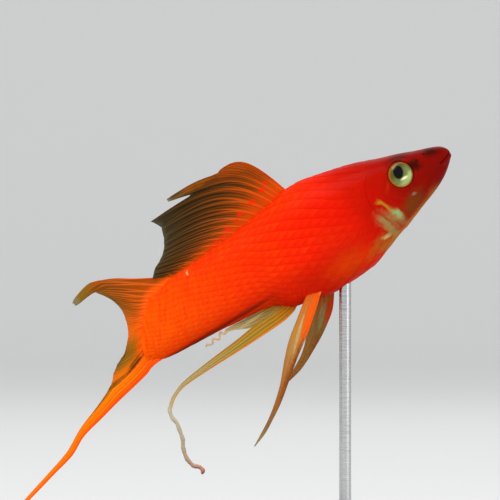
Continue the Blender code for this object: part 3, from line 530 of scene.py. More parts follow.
skinDetail = {
    "headRows": 206, "bodyRows": 200, "columns": 236, "inset": 0.05, "scaledInset": 0.16,
    "mouthBack": 3.1, "mouthDrop": 1.1, "mouthBend": 0.8, "cleftDepth": 0.3, "cleftWidth": 0.1,
    "lipRise": 0.15, "lipOffset": 0.48, "lipWidth": 0.32, "foldDepth": 0.05, "foldAbove": 1.25,
    "foldBelow": 1.1,
    "nostrils": ((7.2, 2.0, 0.3), (5.2, 2.5, 0.22)),    # along, height, radius
    "nostrilDepth": 0.3, "nostrilRim": 0.07, "socketDepth": 1.25, "socketEdge": (2.95, 2.6),
    "orbitRise": 0.13, "orbitRadius": 3.22, "cheekRise": 0.06, "cheekRadius": 5.3, "cheekGroove": 0.04,
    "coverLift": 0.11, "coverFade": 5.0, "coverGroove": 0.04, "coverRays": 0.06,
    "seam": 18.0, "tailReach": 57.0, "crowding": 3.2, "crowdWidth": 9.0,
}
eyeShape = {
    "along": 11.8, "height": 1.2, "turn": math.radians(11), "radius": 2.82, "sink": 1.0,
    "dome": 1.33, "back": -0.9, "backRadius": 0.7, "lensRise": 0.05, "lensGroove": 0.04, "spokes": 72,
}


def mouthHeight(along):         # side view of the cleft: falls as a power of along to the corner
    share = np.clip(along / skinDetail["mouthBack"], 0, 1)
    return -skinDetail["mouthDrop"] * share ** skinDetail["mouthBend"]


def eyeCentre(side):            # the flank's point there, sunk in a little
    out = flank(eyeShape["along"], eyeShape["height"]) - eyeShape["sink"]
    return np.array([eyeShape["along"], side * float(out), eyeShape["height"]])


# In the plane square to an eye's axis: distances from the axis, backwards and upwards.
def eyePlane(points, side):
    offset = points - eyeCentre(side)
    turn = eyeShape["turn"]
    return offset[..., 0] * math.cos(turn) + offset[..., 1] * side * math.sin(turn), offset[..., 2]


# How far the skin stands out or in, in mm: a sum of bells and steps round each feature of the head.
def skinRelief(points, elevation, onCover):
    d = skinDetail
    along, aside, height = np.moveaxis(points, -1, 0)
    beyond = np.maximum(along - d["mouthBack"], 0)
    fromCleft = np.hypot(height - mouthHeight(along), beyond)
    above = height > mouthHeight(along)
    nearMouth = smoothStep(d["mouthBack"] + 0.9, d["mouthBack"] - 0.3, along)
    relief = -d["cleftDepth"] * bell(fromCleft, d["cleftWidth"]) * nearMouth
    lip = bell(fromCleft - d["lipOffset"], d["lipWidth"])
    relief += d["lipRise"] * lip * nearMouth * smoothStep(0, 0.3, along)
    fold = bell(fromCleft - np.where(above, d["foldAbove"], d["foldBelow"]), 0.14)
    relief -= d["foldDepth"] * fold * smoothStep(4.4, 3.2, along) * smoothStep(0.5, 1.2, along)
    for place, level, radius in d["nostrils"]:
        distance = np.hypot(along - place, height - level)
        relief -= d["nostrilDepth"] * np.exp(-(distance / radius) ** 4)
        relief += d["nostrilRim"] * bell(distance - 1.5 * radius, 0.14)
    for side in (1, -1):
        backwards, upwards = eyePlane(points, side)
        distance = np.hypot(backwards, upwards)
        here = aside * side > 0
        socket = d["orbitRise"] * bell(distance - d["orbitRadius"], 0.26)
        socket -= d["socketDepth"] * smoothStep(*d["socketEdge"], distance)
        bone = np.arctan2(upwards, backwards)           # 0 behind the eye, negative below it
        arc = smoothStep(-2.5, -1.9, bone) * smoothStep(0.35, -0.25, bone)
        ridge = d["cheekRise"] * bell(distance - d["cheekRadius"], 0.35)
        ridge -= d["cheekGroove"] * bell(distance - d["cheekRadius"] - 0.6, 0.3)
        relief += np.where(here, socket + arc * ridge, 0)
    stretch = smoothStep(-84, -62, elevation) * smoothStep(38, 8, elevation)
    toEdge = gillEdge(elevation) - along
    cover = d["coverLift"] * np.clip(1 - toEdge / d["coverFade"], 0, 1) ** 1.5
    groove = -d["coverGroove"] * bell(toEdge, 0.4)
    relief += stretch * np.where(onCover, cover, groove)
    lowHead = smoothStep(-50, -60, elevation) * smoothStep(-88, -80, elevation) * smoothStep(6.0, 8.5, along)
    relief += d["coverRays"] * lowHead * onCover * np.sin(toEdge * 5.2)     # bony rays under the gill cover
    return relief


# Rows and columns of the skin: elevations crowd round the mouth's cleft. The crowding solves
# e + strength * width * tanh((e - cleft) / width) = the evenly spaced value, by halving.
def skinElevations(rows, columns, nominal):
    half = columns // 2
    index = np.arange(columns)
    even = np.where(index <= half, 2 * index / half - 1, 3 - 2 * index / half)[None, :]
    side = np.where((index > 0) & (index < half), 1.0, -1.0)
    waistLine = waistHeight(nominal)
    level = (mouthHeight(nominal) - waistLine) / np.maximum(waistLine - belly(nominal), 0.01)
    cleft = -np.degrees(np.arcsin(np.clip(-level, 0, 1) ** (bellyPower(nominal) / 2)))[:, None]
    strength = (skinDetail["crowding"] * smoothStep(6.0, 3.0, nominal))[:, None]
    width = skinDetail["crowdWidth"]

    def spacing(e):
        return e + strength * width * np.tanh((e - cleft) / width)

    low = np.full((rows, columns), -90.0)
    high = np.full((rows, columns), 90.0)
    target = spacing(low) + (even + 1) / 2 * (spacing(high) - spacing(low))
    for _ in range(26):
        middle = (low + high) / 2
        under = spacing(middle) < target
        low = np.where(under, middle, low)
        high = np.where(under, high, middle)
    return (low + high) / 2, np.broadcast_to(side, (rows, columns))


# The skin is one grid, rows from the snout to the tail root and columns once round the body. Each
# point moves off the bare body along the grid's own normal by the relief less the coat's depth.
def makeSkin():
    d = skinDetail
    headShare = (np.arange(1, d["headRows"] + 1) / d["headRows"]) ** 1.5
    bodyShare = (np.arange(1, d["bodyRows"] + 1) / d["bodyRows"]) ** 1.5
    rows = d["headRows"] + d["bodyRows"]
    columns = d["columns"]
    nominal = np.concatenate([d["seam"] * headShare, d["seam"] + d["tailReach"] * bodyShare])
    elevation, side = skinElevations(rows, columns, nominal)
    edge = gillEdge(elevation)
    head = edge[:d["headRows"]] * headShare[:, None]
    body = edge[d["headRows"]:]
    body = body + (tailEnd(elevation[d["headRows"]:]) - body) * bodyShare[:, None]
    along = np.concatenate([head, body])
    points = bodyPoint(along, elevation, side)
    forward = np.gradient(points, axis=0)
    around = np.roll(points, -1, axis=1) - np.roll(points, 1, axis=1)
    normal = -np.cross(forward, around)
    outward = np.stack([0 * along, points[..., 1], points[..., 2] - waistHeight(along)], axis=-1)
    turn = np.sign((normal * outward).sum(axis=-1).mean())
    normal = turn * normal / np.maximum(np.linalg.norm(normal, axis=-1, keepdims=True), 1e-12)
    onCover = (np.arange(rows) < d["headRows"])[:, None]
    scaled = smoothStep(0.2, 2.0, along - edge)
    inset = (d["inset"] + (d["scaledInset"] - d["inset"]) * scaled) * smoothStep(0, 0.5, along)
    inset = inset * smoothStep(0, 3.0, tailEnd(elevation) - along)
    points = points + normal * (skinRelief(points, elevation, onCover) - inset)[..., None]

    # A fan closes the snout, and strips from side to side close the tail end
    tip = np.array([[0.02, 0, 0]])
    j = np.arange(columns)
    fan = np.stack([np.full(columns, rows * columns), j, (j + 1) % columns], axis=-1)
    last = rows * columns - columns
    half = columns // 2
    k = last + np.arange(1, half - 1)
    mirrored = 2 * last + columns - k
    strips = np.stack([k, k + 1, mirrored - 1, mirrored], axis=-1)
    bottom = np.array([[last, last + 1, last + columns - 1]])
    top = last + half + np.array([[-1, 0, 1]])
    faces = [gridQuads(rows, columns, closed=True), fan, bottom, strips, top]
    skin = makePiece("body_skin", toWorld(np.concatenate([points.reshape(-1, 3), tip])), faces, skinMaterial)
    return settle(skin, "skin", "head", "trunk", "tail_stalk")


skin = makeSkin()
print("skin made:", len(skin.data.polygons), "faces")

scaleShape = {
    "rows": 29, "around": 32, "length": 2.1, "width": 1.26, "rootDepth": 0.045, "lift": 0.09, "crown": 0.02,
    "frontPitch": 1.14, "roundness": 0.86, "jitter": 0.06, "seed": 7, "plateRows": 6, "plateColumns": 7,
    "bottom": -0.12, "sunk": 0.02, "sunkCoat": 0.11,
}


# Elevation at a share of the way round the section from belly to back, measured along the skin: a
# table of summed step lengths at many stations, read between its entries.
roundGrid = {"first": 10, "last": 80, "perMm": 2, "shares": 180}


# The section's outline is walked in small angles at each station, its length summed up and divided by the
# whole, and the angles read off at equal shares of that length.
def makeRoundTable():
    g = roundGrid
    count = (g["last"] - g["first"]) * g["perMm"] + 1
    stations = np.linspace(g["first"], g["last"], count)[:, None]
    angles = np.linspace(-90, 90, 361)[None, :]
    aside, height = section(stations, angles, halfWidth(stations))
    steps = np.hypot(np.diff(aside, axis=1), np.diff(height, axis=1))
    length = np.concatenate([np.zeros((count, 1)), np.cumsum(steps, axis=1)], axis=1)
    length /= length[:, -1:]
    shares = np.linspace(0, 1, g["shares"] + 1)
    return np.stack([np.interp(shares, row, angles[0]) for row in length])


roundTable = makeRoundTable()


# The angle in that table at a place along the fish and a share from belly to back: the mean of the four
# entries round it, weighted by how near each one is.
def elevationAt(along, share):
    x = np.clip((along - roundGrid["first"]) * roundGrid["perMm"], 0, len(roundTable) - 1.001)
    y = np.clip(share * roundGrid["shares"], 0, roundGrid["shares"] - 0.001)
    i = x.astype(int)
    j = y.astype(int)
    fx = x - i
    fy = y - j
    low = roundTable[i, j] * (1 - fy) + roundTable[i, j + 1] * fy
    high = roundTable[i + 1, j] * (1 - fy) + roundTable[i + 1, j + 1] * fy
    return low * (1 - fx) + high * fx


# Scales in staggered rows from the gill edge to the tail root. Each is a small plate on a grid of
# q (root to free edge) and p (across): its end is rounded as the root of 1 - p^2, its height over the
# body grows with q and falls off with p^2, and a point under its middle closes it from below.
def makeScales():
    s = scaleShape
    draw = np.random.default_rng(s["seed"])
    row = np.arange(s["rows"])[:, None]
    column = np.arange(s["around"])[None, :]
    turn = (column + 0.5 * (row % 2)) * 2 / s["around"]         # 0 belly, 1 back, 2 belly again
    jitter = draw.uniform(-1, 1, turn.shape + (4,))
    part = row / s["rows"] * (s["frontPitch"] - (s["frontPitch"] - 1) * row / s["rows"])
    share = np.where(turn < 1, turn, 2 - turn)
    guess = elevationAt(20 + 54 * part, share)
    start = gillEdge(guess) - 0.5
    end = tailEnd(guess)
    place = start + (end - start) * part + s["jitter"] * jitter[..., 0]
    pitch = (end - start) / s["rows"] * (s["frontPitch"] - 2 * (s["frontPitch"] - 1) * row / s["rows"])
    grid = (s["plateRows"], s["plateColumns"])
    q = np.linspace(0, 1, grid[0])[:, None]
    p = np.linspace(-1, 1, grid[1])[None, :]
    reach = np.sqrt(1 - (s["roundness"] * p) ** 2)
    qEnd = q * reach
    along = place[..., None, None] + pitch[..., None, None] * s["length"] * qEnd
    around = turn[..., None, None] + (s["width"] / s["around"]) * p * (0.82 + 0.18 * np.sin(math.pi * q))
    height = s["lift"] * (1 + 0.15 * jitter[..., 1, None, None]) * qEnd - s["rootDepth"]
    height = height - s["crown"] * p ** 2 + 0.02 * jitter[..., 2, None, None] * p
    beneath = place + pitch * s["length"] * 0.45
    along = np.concatenate([along.reshape(*place.shape, -1), beneath[..., None]], axis=-1)
    around = np.concatenate([around.reshape(*place.shape, -1), turn[..., None]], axis=-1) % 2
    bottom = np.full(place.shape + (1,), s["bottom"])
    height = np.concatenate([height.reshape(*place.shape, -1), bottom], axis=-1)
    side = np.where(around < 1, 1.0, -1.0)
    elevation = elevationAt(along, np.where(around < 1, around, 2 - around))
    along = np.minimum(along, tailEnd(elevation) - 0.1)
    fade = smoothStep(0, 5.0, tailEnd(elevation) - along)
    height = height * (0.3 + 0.7 * fade) - s["sunk"] - s["sunkCoat"] * fade
    points = bodyPoint(along, elevation, side) + bodyNormal(along, elevation, side) * height[..., None]

    # The faces of one scale, moved on by its number of points for each further scale
    size = grid[0] * grid[1] + 1
    rim = gridRim(*grid)
    under = np.stack([np.roll(rim, -1), rim, np.full(len(rim), size - 1)], axis=-1)
    offsets = np.arange(place.size)[:, None, None] * size
    faces = [(array[None] + offsets).reshape(-1, array.shape[1]) for array in (gridQuads(*grid), under)]
    coat = makePiece("body_scales", toWorld(points), faces, scaleMaterial)
    corner = 0.4 * np.abs(p) ** 3 * smoothStep(0.3, 0.8, q)
    free = smoothStep(0.45, 1.0, np.maximum(q, corner))
    addValues(coat, "edge", np.tile(np.append(free.ravel(), 0.0), (place.size, 1)))
    addValues(coat, "tone", np.repeat(0.5 + 0.5 * jitter[..., 3], size))
    root = np.stack([place / 80, turn / 2.1 + 0.01], axis=-1).reshape(-1, 1, 2)
    u, v = np.broadcast_arrays(q * 0.003, p * 0.0015)
    local = np.append(np.stack([u, v], axis=-1).reshape(-1, 2), [[0.0015, 0.0]], axis=0)
    addMap(coat, "OFBake", root + local)
    return settle(coat, "skin", "trunk", "tail_stalk")


coat = makeScales()
print("scales made:", len(coat.data.polygons), "faces")

eyeLook = {
    "iris": (0.15, 0.19, 0.05), "bright": (0.36, 0.44, 0.16), "olive": (0.10, 0.085, 0.012),
    "rimBehind": (0.48, 0.14, 0.004), "rimAhead": (0.26, 0.12, 0.02), "pupil": (0.0008, 0.001, 0.002),
    "pupilOffset": (0.30, 0.76), "pupilSize": (1.08, 1.42), "pupilTurn": 22,
    "glint": (0.90, 0.90, 0.46), "glintOffset": (-0.16, -0.98), "glintSize": (0.95, 0.34), "glintTurn": -2.0,
    "socket": (0.30, 0.02, 0.002), "plane": 6.4,
}


# Eyes are painted on their own plane: its UV map runs over a square of the plane's size in mm round
# the axis, backwards and upwards.
def paintEye():
    look = eyeLook
    material, tree, shader = newMaterial("glossyEye")
    spot = uvPlace(tree, "eyePlane")
    backwards, upwards = [centred(part, look["plane"]) for part in partsOf(spot)[:2]]
    distance = magnitude(backwards, upwards)
    fibres = joined(times(reckon("ARCTAN2", upwards, backwards), 5.0), distance)
    streak = speckle(fibres, 2.2, 4.0, 0.6)
    mottle = speckle(spot, 22.0, 3.0, 0.6)
    tone = minus(times(backwards, -0.16), times(upwards, 0.36))
    stops = ((0.02, look["olive"]), (0.42, look["iris"]), (0.72, look["iris"]), (1.0, look["bright"]))
    shade = ramp(plus(tone, centred(streak, 0.8), 0.45), stops)
    shade = blendColour(spread(mottle, 0.5, 0.75, 0.0, 0.4), shade, look["olive"])
    wobble = times(streak, 0.4)
    # Painted highlight: a pale yellow glint below the pupil, laid into the iris colour
    glint = blotch(backwards, upwards, wobble, look["glintOffset"], look["glintSize"], look["glintTurn"])
    shade = blendColour(glint, shade, look["glint"])
    behind = spread(minus(backwards, times(upwards, 0.5)), -0.8, 1.4)
    rim = blendColour(behind, look["rimAhead"], look["rimBehind"])
    shade = blendColour(spread(distance, 2.1, 2.6, 0.0, 0.8), shade, rim)
    shade = blendColour(spread(distance, 2.6, 2.8), shade, look["socket"])
    inside = ovalDistance(backwards, upwards, look["pupilOffset"], look["pupilSize"], look["pupilTurn"])
    shade = blendColour(spread(inside, 1.3, 1.0, 0.0, 0.7), shade, look["olive"])
    dark = spread(inside, 1.05, 0.95)
    shade = blendColour(dark, shade, look["pupil"])
    feed(shader, {"Base Color": shade, "Metallic": times(minus(1.0, dark), 0.2), "Roughness": 0.2,
                  "Specular IOR Level": 0.12, "Coat Weight": 0.08, "Coat Roughness": 0.02})
    return material


eyeMaterial = paintEye()


# Each eyeball is a disc of rings and spokes bent into a dome: its height over the eye's plane falls
# from the middle as a power of the distance, drops steeply at the rim, and closes at the back.
def makeEye(side):
    e = eyeShape
    rings = np.concatenate([np.linspace(0.03, 0.9, 26), np.linspace(0.92, 1.0, 8)])
    flat = rings[:, None, None] * e["radius"] * circle(e["spokes"])
    dx, dy = np.moveaxis(flat - np.array(eyeLook["pupilOffset"]), -1, 0)
    cosine = math.cos(math.radians(eyeLook["pupilTurn"]))
    sine = math.sin(math.radians(eyeLook["pupilTurn"]))
    width, length = eyeLook["pupilSize"]
    offset = np.hypot((dx * cosine + dy * sine) / width, (dy * cosine - dx * sine) / length)
    lens = e["lensRise"] * smoothStep(1.15, 0.2, offset) - e["lensGroove"] * bell(offset - 1.08, 0.1)
    dome = e["dome"] * (1 - rings ** 3.4) ** (1 / 2.6)
    out = np.minimum(dome[:, None] - 0.06 + lens, e["dome"])
    front = np.concatenate([flat, out[..., None]], axis=-1).reshape(-1, 3)
    rear = np.insert(e["backRadius"] * flat[-1], 2, e["back"], axis=1)
    ball = np.concatenate([front, rear, [[0, 0, out[0].mean()], [0, 0, e["back"]]]])
    centre = eyeCentre(side)
    along = centre[0] + ball[:, 0] * math.cos(e["turn"]) - ball[:, 2] * math.sin(e["turn"])
    aside = centre[1] + side * (ball[:, 0] * math.sin(e["turn"]) + ball[:, 2] * math.cos(e["turn"]))
    points = toWorld(np.stack([along, aside, centre[2] + ball[:, 1]], axis=-1))
    word = "left" if side > 0 else "right"
    eye = makePiece("eyeball_" + word, points, tubeFaces(len(rings) + 1, e["spokes"]), eyeMaterial)
    addMap(eye, "eyePlane", ball[:, :2] / eyeLook["plane"] + 0.5)
    return settle(eye, "eye", "eye_" + word)


for side in (1, -1):
    makeEye(side)
print("eyes made")

# Fins. Each is a closed sheet with two faces. u runs from root to margin and w across from the first
# to the last ray, as shares. shape(u, w) gives (along, height) and sway(...) the distance aside.
# These values hold where a fin's own dictionary gives no other.
anyFin = {
    "membrane": 0.05, "columns": 12, "thinning": 0.5, "lean": 1.0, "ragged": 0.0, "pleat": 0.08,
    "rootThin": 0.0, "rootReach": 0.06, "streak": 0.5, "streakScale": (26.0, 2.0, 1.0), "joints": 14.0,
    "rayShow": 0.9, "rayAlpha": 0.95, "gloss": 0.22, "glossTint": (1.0, 0.45, 0.15), "roughness": 0.36,
    "coat": 0.03, "coatRoughness": 0.2, "sink": (0, 0),
}


# Smooth path through a few (along, height) points, by the share of its length.
def pathPoint(points, share):
    points = np.asarray(points, float)
    distance = np.concatenate([[0], np.cumsum(np.linalg.norm(np.diff(points, axis=0), axis=1))])
    spots = np.asarray(share) * distance[-1]
    parts = [smoothThrough(np.stack([distance, points[:, k]], axis=1))(spots) for k in (0, 1)]
    return np.stack(parts, axis=-1)


# Sheet between an upper and a lower path.
def stripShape(upper, lower):
    def shape(u, w):
        top = pathPoint(upper, u)
        return top + (pathPoint(lower, u) - top) * w[..., None]
    return shape


# One ray as a four-point curve: it leaves its root and reaches its tip along given directions.
def curvedRay(root, tip, leave, arrive, rise, run):
    root, tip = np.asarray(root, float), np.asarray(tip, float)
    length = np.linalg.norm(tip - root)
    first = root + np.array([math.cos(math.radians(leave)), math.sin(math.radians(leave))]) * length * rise
    second = tip - np.array([math.cos(math.radians(arrive)), math.sin(math.radians(arrive))]) * length * run
    t = np.linspace(0, 1, 14)[:, None]
    return root * (1 - t) ** 3 + 3 * first * t * (1 - t) ** 2 + 3 * second * t ** 2 * (1 - t) + tip * t ** 3


# Sheet over a row of rays: points are blended between the two rays beside them. With steps, the
# blend near the margin keeps to the nearer ray, so that long rays end in lobes.
def rayFan(paths, steps=0.0):
    def shape(u, w):
        spot = np.clip(w * (len(paths) - 1), 0, len(paths) - 1.0001)
        i = spot.astype(int)
        f = spot - i
        f = f + (smoothStep(0.2, 0.8, f) - f) * steps * u ** 3
        rays = np.stack([pathPoint(path, u) for path in paths])
        first = np.take_along_axis(rays, i[None, ..., None], axis=0)[0]
        second = np.take_along_axis(rays, i[None, ..., None] + 1, axis=0)[0]
        return first * (1 - f[..., None]) + second * f[..., None]
    return shape


# How much of each point is ray: bells round each ray's line, which forks once or twice on its way
# out. The bell's width is in mm, so it is divided by the sheet's own mm for each unit of w.
def rayCover(shape, u, w, look):
    count = look["rays"]
    step = 0.5 / (count - 1)
    before, after = np.clip(w - 0.02, 0, 1), np.clip(w + 0.02, 0, 1)
    width = np.linalg.norm(shape(u, after) - shape(u, before), axis=-1)
    perUnit = np.maximum(width / (after - before), 0.5)
    cover = np.zeros_like(u)
    first, second = look["forks"]
    open1 = 0.5 * step * smoothStep(first, first + 0.5, u)
    open2 = 0.25 * step * smoothStep(second, second + 0.4, u)
    thick = look["rayWidth"] * (1 - look["thinning"] * smoothStep(0.05, 1.0, u))
    for ray in range(count):
        outermost = (ray == 0) - (ray == count - 1)     # 1 at the first ray and -1 at the last
        inward = 0.55 if outermost else 1.0
        for a, b in ((-1, -1), (-1, 1), (1, -1), (1, 1)):
            centre = ray / (count - 1) + inward * (a * open1 + b * open2) + outermost * (open1 + open2)
            cover = np.maximum(cover, bell((w - centre) * perUnit, thick))
    return cover


# Builds the sheet: half thickness is the membrane's plus the rays', the margin is drawn in between
# rays by the notch, and the sheet pleats a little between rays.
def makeFin(name, node, slot, shape, sway, look, material):
    look = {**anyFin, **look}
    rows = look["rows"]
    spans = look["rays"] - 1
    columns = spans * look["columns"] + 1
    u, w = np.meshgrid(np.linspace(0, 1, rows), np.linspace(0, 1, columns), indexing="ij")
    place = w * spans
    between = np.abs(np.sin(place * math.pi))
    gap = np.clip(place.astype(int), 0, spans - 1)
    notch = np.broadcast_to(look["notch"], spans)[gap]
    slit = np.sin(math.pi * np.clip(place - gap, 0, 1) ** look["lean"]) ** 0.7
    reach = 1 - notch * slit - look["ragged"] * (0.5 + 0.5 * np.sin(w * 61.0)) * between ** 0.3
    cover = rayCover(shape, u * reach, w, look)
    flat = shape(u * reach, w) + np.array(look["sink"]) * ((1 - u) ** 6)[..., None]
    half = look["membrane"] * (1 - 0.45 * u) + look["rayRise"] * (1 - 0.6 * u) * cover
    half[-1] *= 0.35
    half *= 1 - look["rootThin"] * smoothStep(look["rootReach"], 0, u)
    half[:, 0] *= 0.6
    half[:, -1] *= 0.6
    pleat = look["pleat"] * between ** 2 * np.sin(math.pi * u) * np.sign(np.sin(place * math.pi + 0.5))
    middle = sway(flat, u, w) + pleat
    sheets = [np.stack([flat[..., 0], aside, flat[..., 1]], axis=-1).reshape(-1, 3)
              for aside in (middle + half, middle - half)]
    count = rows * columns
    quads = gridQuads(rows, columns)
    rim = gridRim(rows, columns)
    following = np.roll(rim, -1)
    edge = np.stack([following, rim, rim + count, following + count], axis=-1)
    fin = makePiece(name, toWorld(np.concatenate(sheets)), [quads, quads[:, ::-1] + count, edge], material)
    addMap(fin, "finMap", np.tile(np.stack([w, u], axis=-1).reshape(-1, 2), (2, 1)))
    addValues(fin, "ray", np.tile(cover.ravel(), 2))
    return settle(fin, slot, node)


# Fin material: colours run from root to margin for the membrane and for the rays, with streaks
# drawn out along the rays, fine joints across them and a see-through membrane.
def paintFin(name, look):
    look = {**anyFin, **look}
    material, tree, shader = newMaterial(name)
    spot = uvPlace(tree, "finMap")
    across, outward, _ = partsOf(spot)
    ray = pointValue(tree, "ray")
    shift = centred(speckle(stretched(spot, look["streakScale"]), 1.0, 4.0, 0.6), look["streak"])
    membrane = ramp(plus(outward, shift), look["membraneColours"])
    rays = ramp(outward, look["rayColours"])
    if "fineLines" in look:     # a sine across the sheet, for rays too fine to model
        wave = reckon("SINE", times(across, 2 * math.pi * look["fineLines"]))
        fine = times(spread(wave, -0.2, 1.0), spread(outward, 0.98, 0.8), look["fineStrength"])
        membrane = blendColour(fine, membrane, rays)
    shade = blendColour(times(ray, look["rayShow"]), membrane, rays)
    if "acrossColours" in look:
        mask = ramp(plus(across, times(shift, 0.3)), look["acrossStrength"])
        shade = blendColour(mask, shade, ramp(across, look["acrossColours"]))
    place = fishFrame(tree)
    along, _, height = partsOf(place)
    wobble = centred(speckle(place, 1.5), 1.0)
    for centre, radii, angle, tint, strength in look.get("spots", ()):
        mask = times(blotch(along, height, wobble, centre, radii, angle), strength)
        shade = blendColour(mask, shade, tint)
    if "fineFront" in look:     # dark gaps between the fine rays of the first few spines
        gap = times(spread(wave, 0.3, -0.7), spread(across, 0.24, 0.14), spread(outward, 0.12, 0.3))
        shade = blendColour(times(gap, look["fineFront"]), shade, look["gapColour"])
    if "flesh" in look:         # the flesh's colour runs out over the fin's base, by the distance behind it
        bend = times(height, height, bodyShape["tailRootBulge"])
        behind = plus(times(height, bodyShape["tailRootSlant"]), bend, along)
        behind = plus(minus(behind, bodyShape["tailRoot"]), times(shift, 5.0))
        flesh = spread(behind, *look["flesh"], 1.0, 0.0)
        if "fleshTop" in look:
            flesh = times(flesh, spread(height, *look["fleshTop"]))
        shade = blendColour(flesh, shade, look["fleshColour"])
    clear = reckon("MAXIMUM", ramp(outward, look["alpha"]), times(ray, look["rayAlpha"]))
    finishSurface(shader, look, shade, look["roughness"])
    feed(shader, {"Alpha": clear})
    values = {"Vector": spot, "Scale": look["joints"], "Distortion": 0.6}
    joints = derive("ShaderNodeTexWave", values, bands_direction="Y").outputs["Fac"]
    addBump(shader, times(joints, ray), 0.5, 0.04)
    return material


dorsal = {
    "roots": (34.2, 35.0, 36.2, 37.1, 38.2, 40.2, 42.2, 44.2, 46.2, 48.2, 50.3, 52.6, 55.2, 58.6, 64.4),
    "tips": (
        (44.4, 21.75), (45.9, 21.1), (57.5, 22.2), (57.4, 21.6), (63.1, 19.8), (61.6, 17.3), (62.1, 15.6),
        (62.8, 14.2), (63.5, 13.2), (64.3, 12.4), (65.2, 11.8), (66.0, 11.3), (66.9, 10.9), (67.7, 10.1),
        (68.6, 9.1)),
    "leave": (67, 66, 65, 62, 58, 50, 42, 35, 30, 26, 22, 18, 14, 10, 8),
    "arrive": (-10, -10, -4, 12, -4, -5, -4, -3, 0, 3, 5, 8, 12, 16, 16),
    "rise": (0.545, 0.535, 0.45, 0.43, 0.42, 0.36, 0.34, 0.33, 0.33, 0.33, 0.33, 0.33, 0.33, 0.33, 0.33),
    "run": (0.42, 0.42, 0.5, 0.5, 0.5, 0.46, 0.43, 0.4, 0.38, 0.36, 0.35, 0.35, 0.35, 0.35, 0.33),
    "swing": 0.9, "wave": 4.0, "rays": 15, "forks": (0.03, 1.3), "rayWidth": 0.17, "thinning": 0.3,
    "rayRise": 0.13,
    "notch": (0.0, 0.0, 0.01, 0.26, 0.02, 0.01, 0.01, 0.01, 0.01, 0.01, 0.01, 0.01, 0.01, 0.01),
    "lean": 0.8, "ragged": 0.004, "columns": 13, "streak": 0.2, "rayAlpha": 1.0, "gloss": 0.15,
    "coat": 0.01, "fineLines": 56.0, "fineStrength": 0.34, "fineFront": 0.75,
    "gapColour": (0.09, 0.026, 0.003),
    "membraneColours": (
        (0.0, (0.64, 0.055, 0.001)), (0.1, (0.42, 0.05, 0.002)), (0.22, (0.13, 0.03, 0.003)),
        (0.42, (0.028, 0.013, 0.003)), (0.75, (0.015, 0.01, 0.004)), (0.95, (0.03, 0.024, 0.01)),
        (1.0, (0.06, 0.055, 0.03))),
    "rayColours": (
        (0.0, (0.88, 0.06, 0.002)), (0.2, (0.74, 0.09, 0.003)), (0.36, (0.38, 0.066, 0.003)),
        (0.6, (0.15, 0.048, 0.005)), (0.85, (0.1, 0.044, 0.009)), (1.0, (0.08, 0.06, 0.03))),
    "alpha": ((0.0, 1.0), (0.3, 1.0), (0.7, 0.99), (0.93, 0.97), (1.0, 0.86)),
    "acrossColours": ((0.0, (0.72, 0.08, 0.001)), (0.2, (0.54, 0.07, 0.002))),
    "acrossStrength": ((0.0, 0.95), (0.03, 0.62), (0.07, 0.4), (0.15, 0.22), (0.22, 0.0)),
    "spots": (
        ((37.4, 14.5), (0.6, 0.4), 0, (0.85, 0.01, 0.001), 0.8),
        ((38.7, 13.5), (0.7, 0.45), 0, (0.85, 0.01, 0.001), 0.8),
        ((41.8, 12.4), (0.8, 0.45), 0, (0.85, 0.01, 0.001), 0.8),
        ((45.3, 11.5), (0.7, 0.4), 0, (0.85, 0.01, 0.001), 0.8),
        ((46.8, 10.6), (0.5, 0.3), 0, (0.85, 0.01, 0.001), 0.8),
        ((49.4, 10.0), (0.9, 0.34), 0, (0.85, 0.01, 0.001), 0.8),
        ((52.4, 8.95), (2.1, 0.24), -6, (0.85, 0.01, 0.001), 0.8),
        ((40.5, 20.3), (5.0, 1.1), 8, (0.5, 0.07, 0.002), 0.45),
        ((50.2, 21.6), (4.6, 0.6), 3, (0.34, 0.1, 0.006), 0.6),
        ((55.6, 21.9), (2.2, 0.9), 0, (0.13, 0.09, 0.025), 0.8),
        ((57.3, 21.9), (0.9, 0.8), 0, (0.26, 0.24, 0.14), 0.8),
    ),
    "rows": 90, "sink": (0, -0.9), "rootLift": 0.3, "rearLift": 0.1, "rearStart": 60.0,
}


# Each root stands on the back, raised a little. The sail waves aside by a sine of w that grows with the
# square of u.
def makeDorsal():
    d = dorsal
    roots = np.array(d["roots"])
    lift = np.where(roots < d["rearStart"], d["rootLift"], d["rearLift"])
    roots = np.stack([roots, back(roots) + lift], axis=-1)
    rays = zip(roots, d["tips"], d["leave"], d["arrive"], d["rise"], d["run"])
    shape = rayFan([curvedRay(*ray) for ray in rays], 1.0)

    def sway(flat, u, w):
        return d["swing"] * u ** 2 * np.sin(d["wave"] * w)

    material = paintFin("dorsalFin", d)
    return makeFin("dorsal_sail", "dorsal_fin", "fin", shape, sway, d, material)


makeDorsal()
print("dorsal fin made")

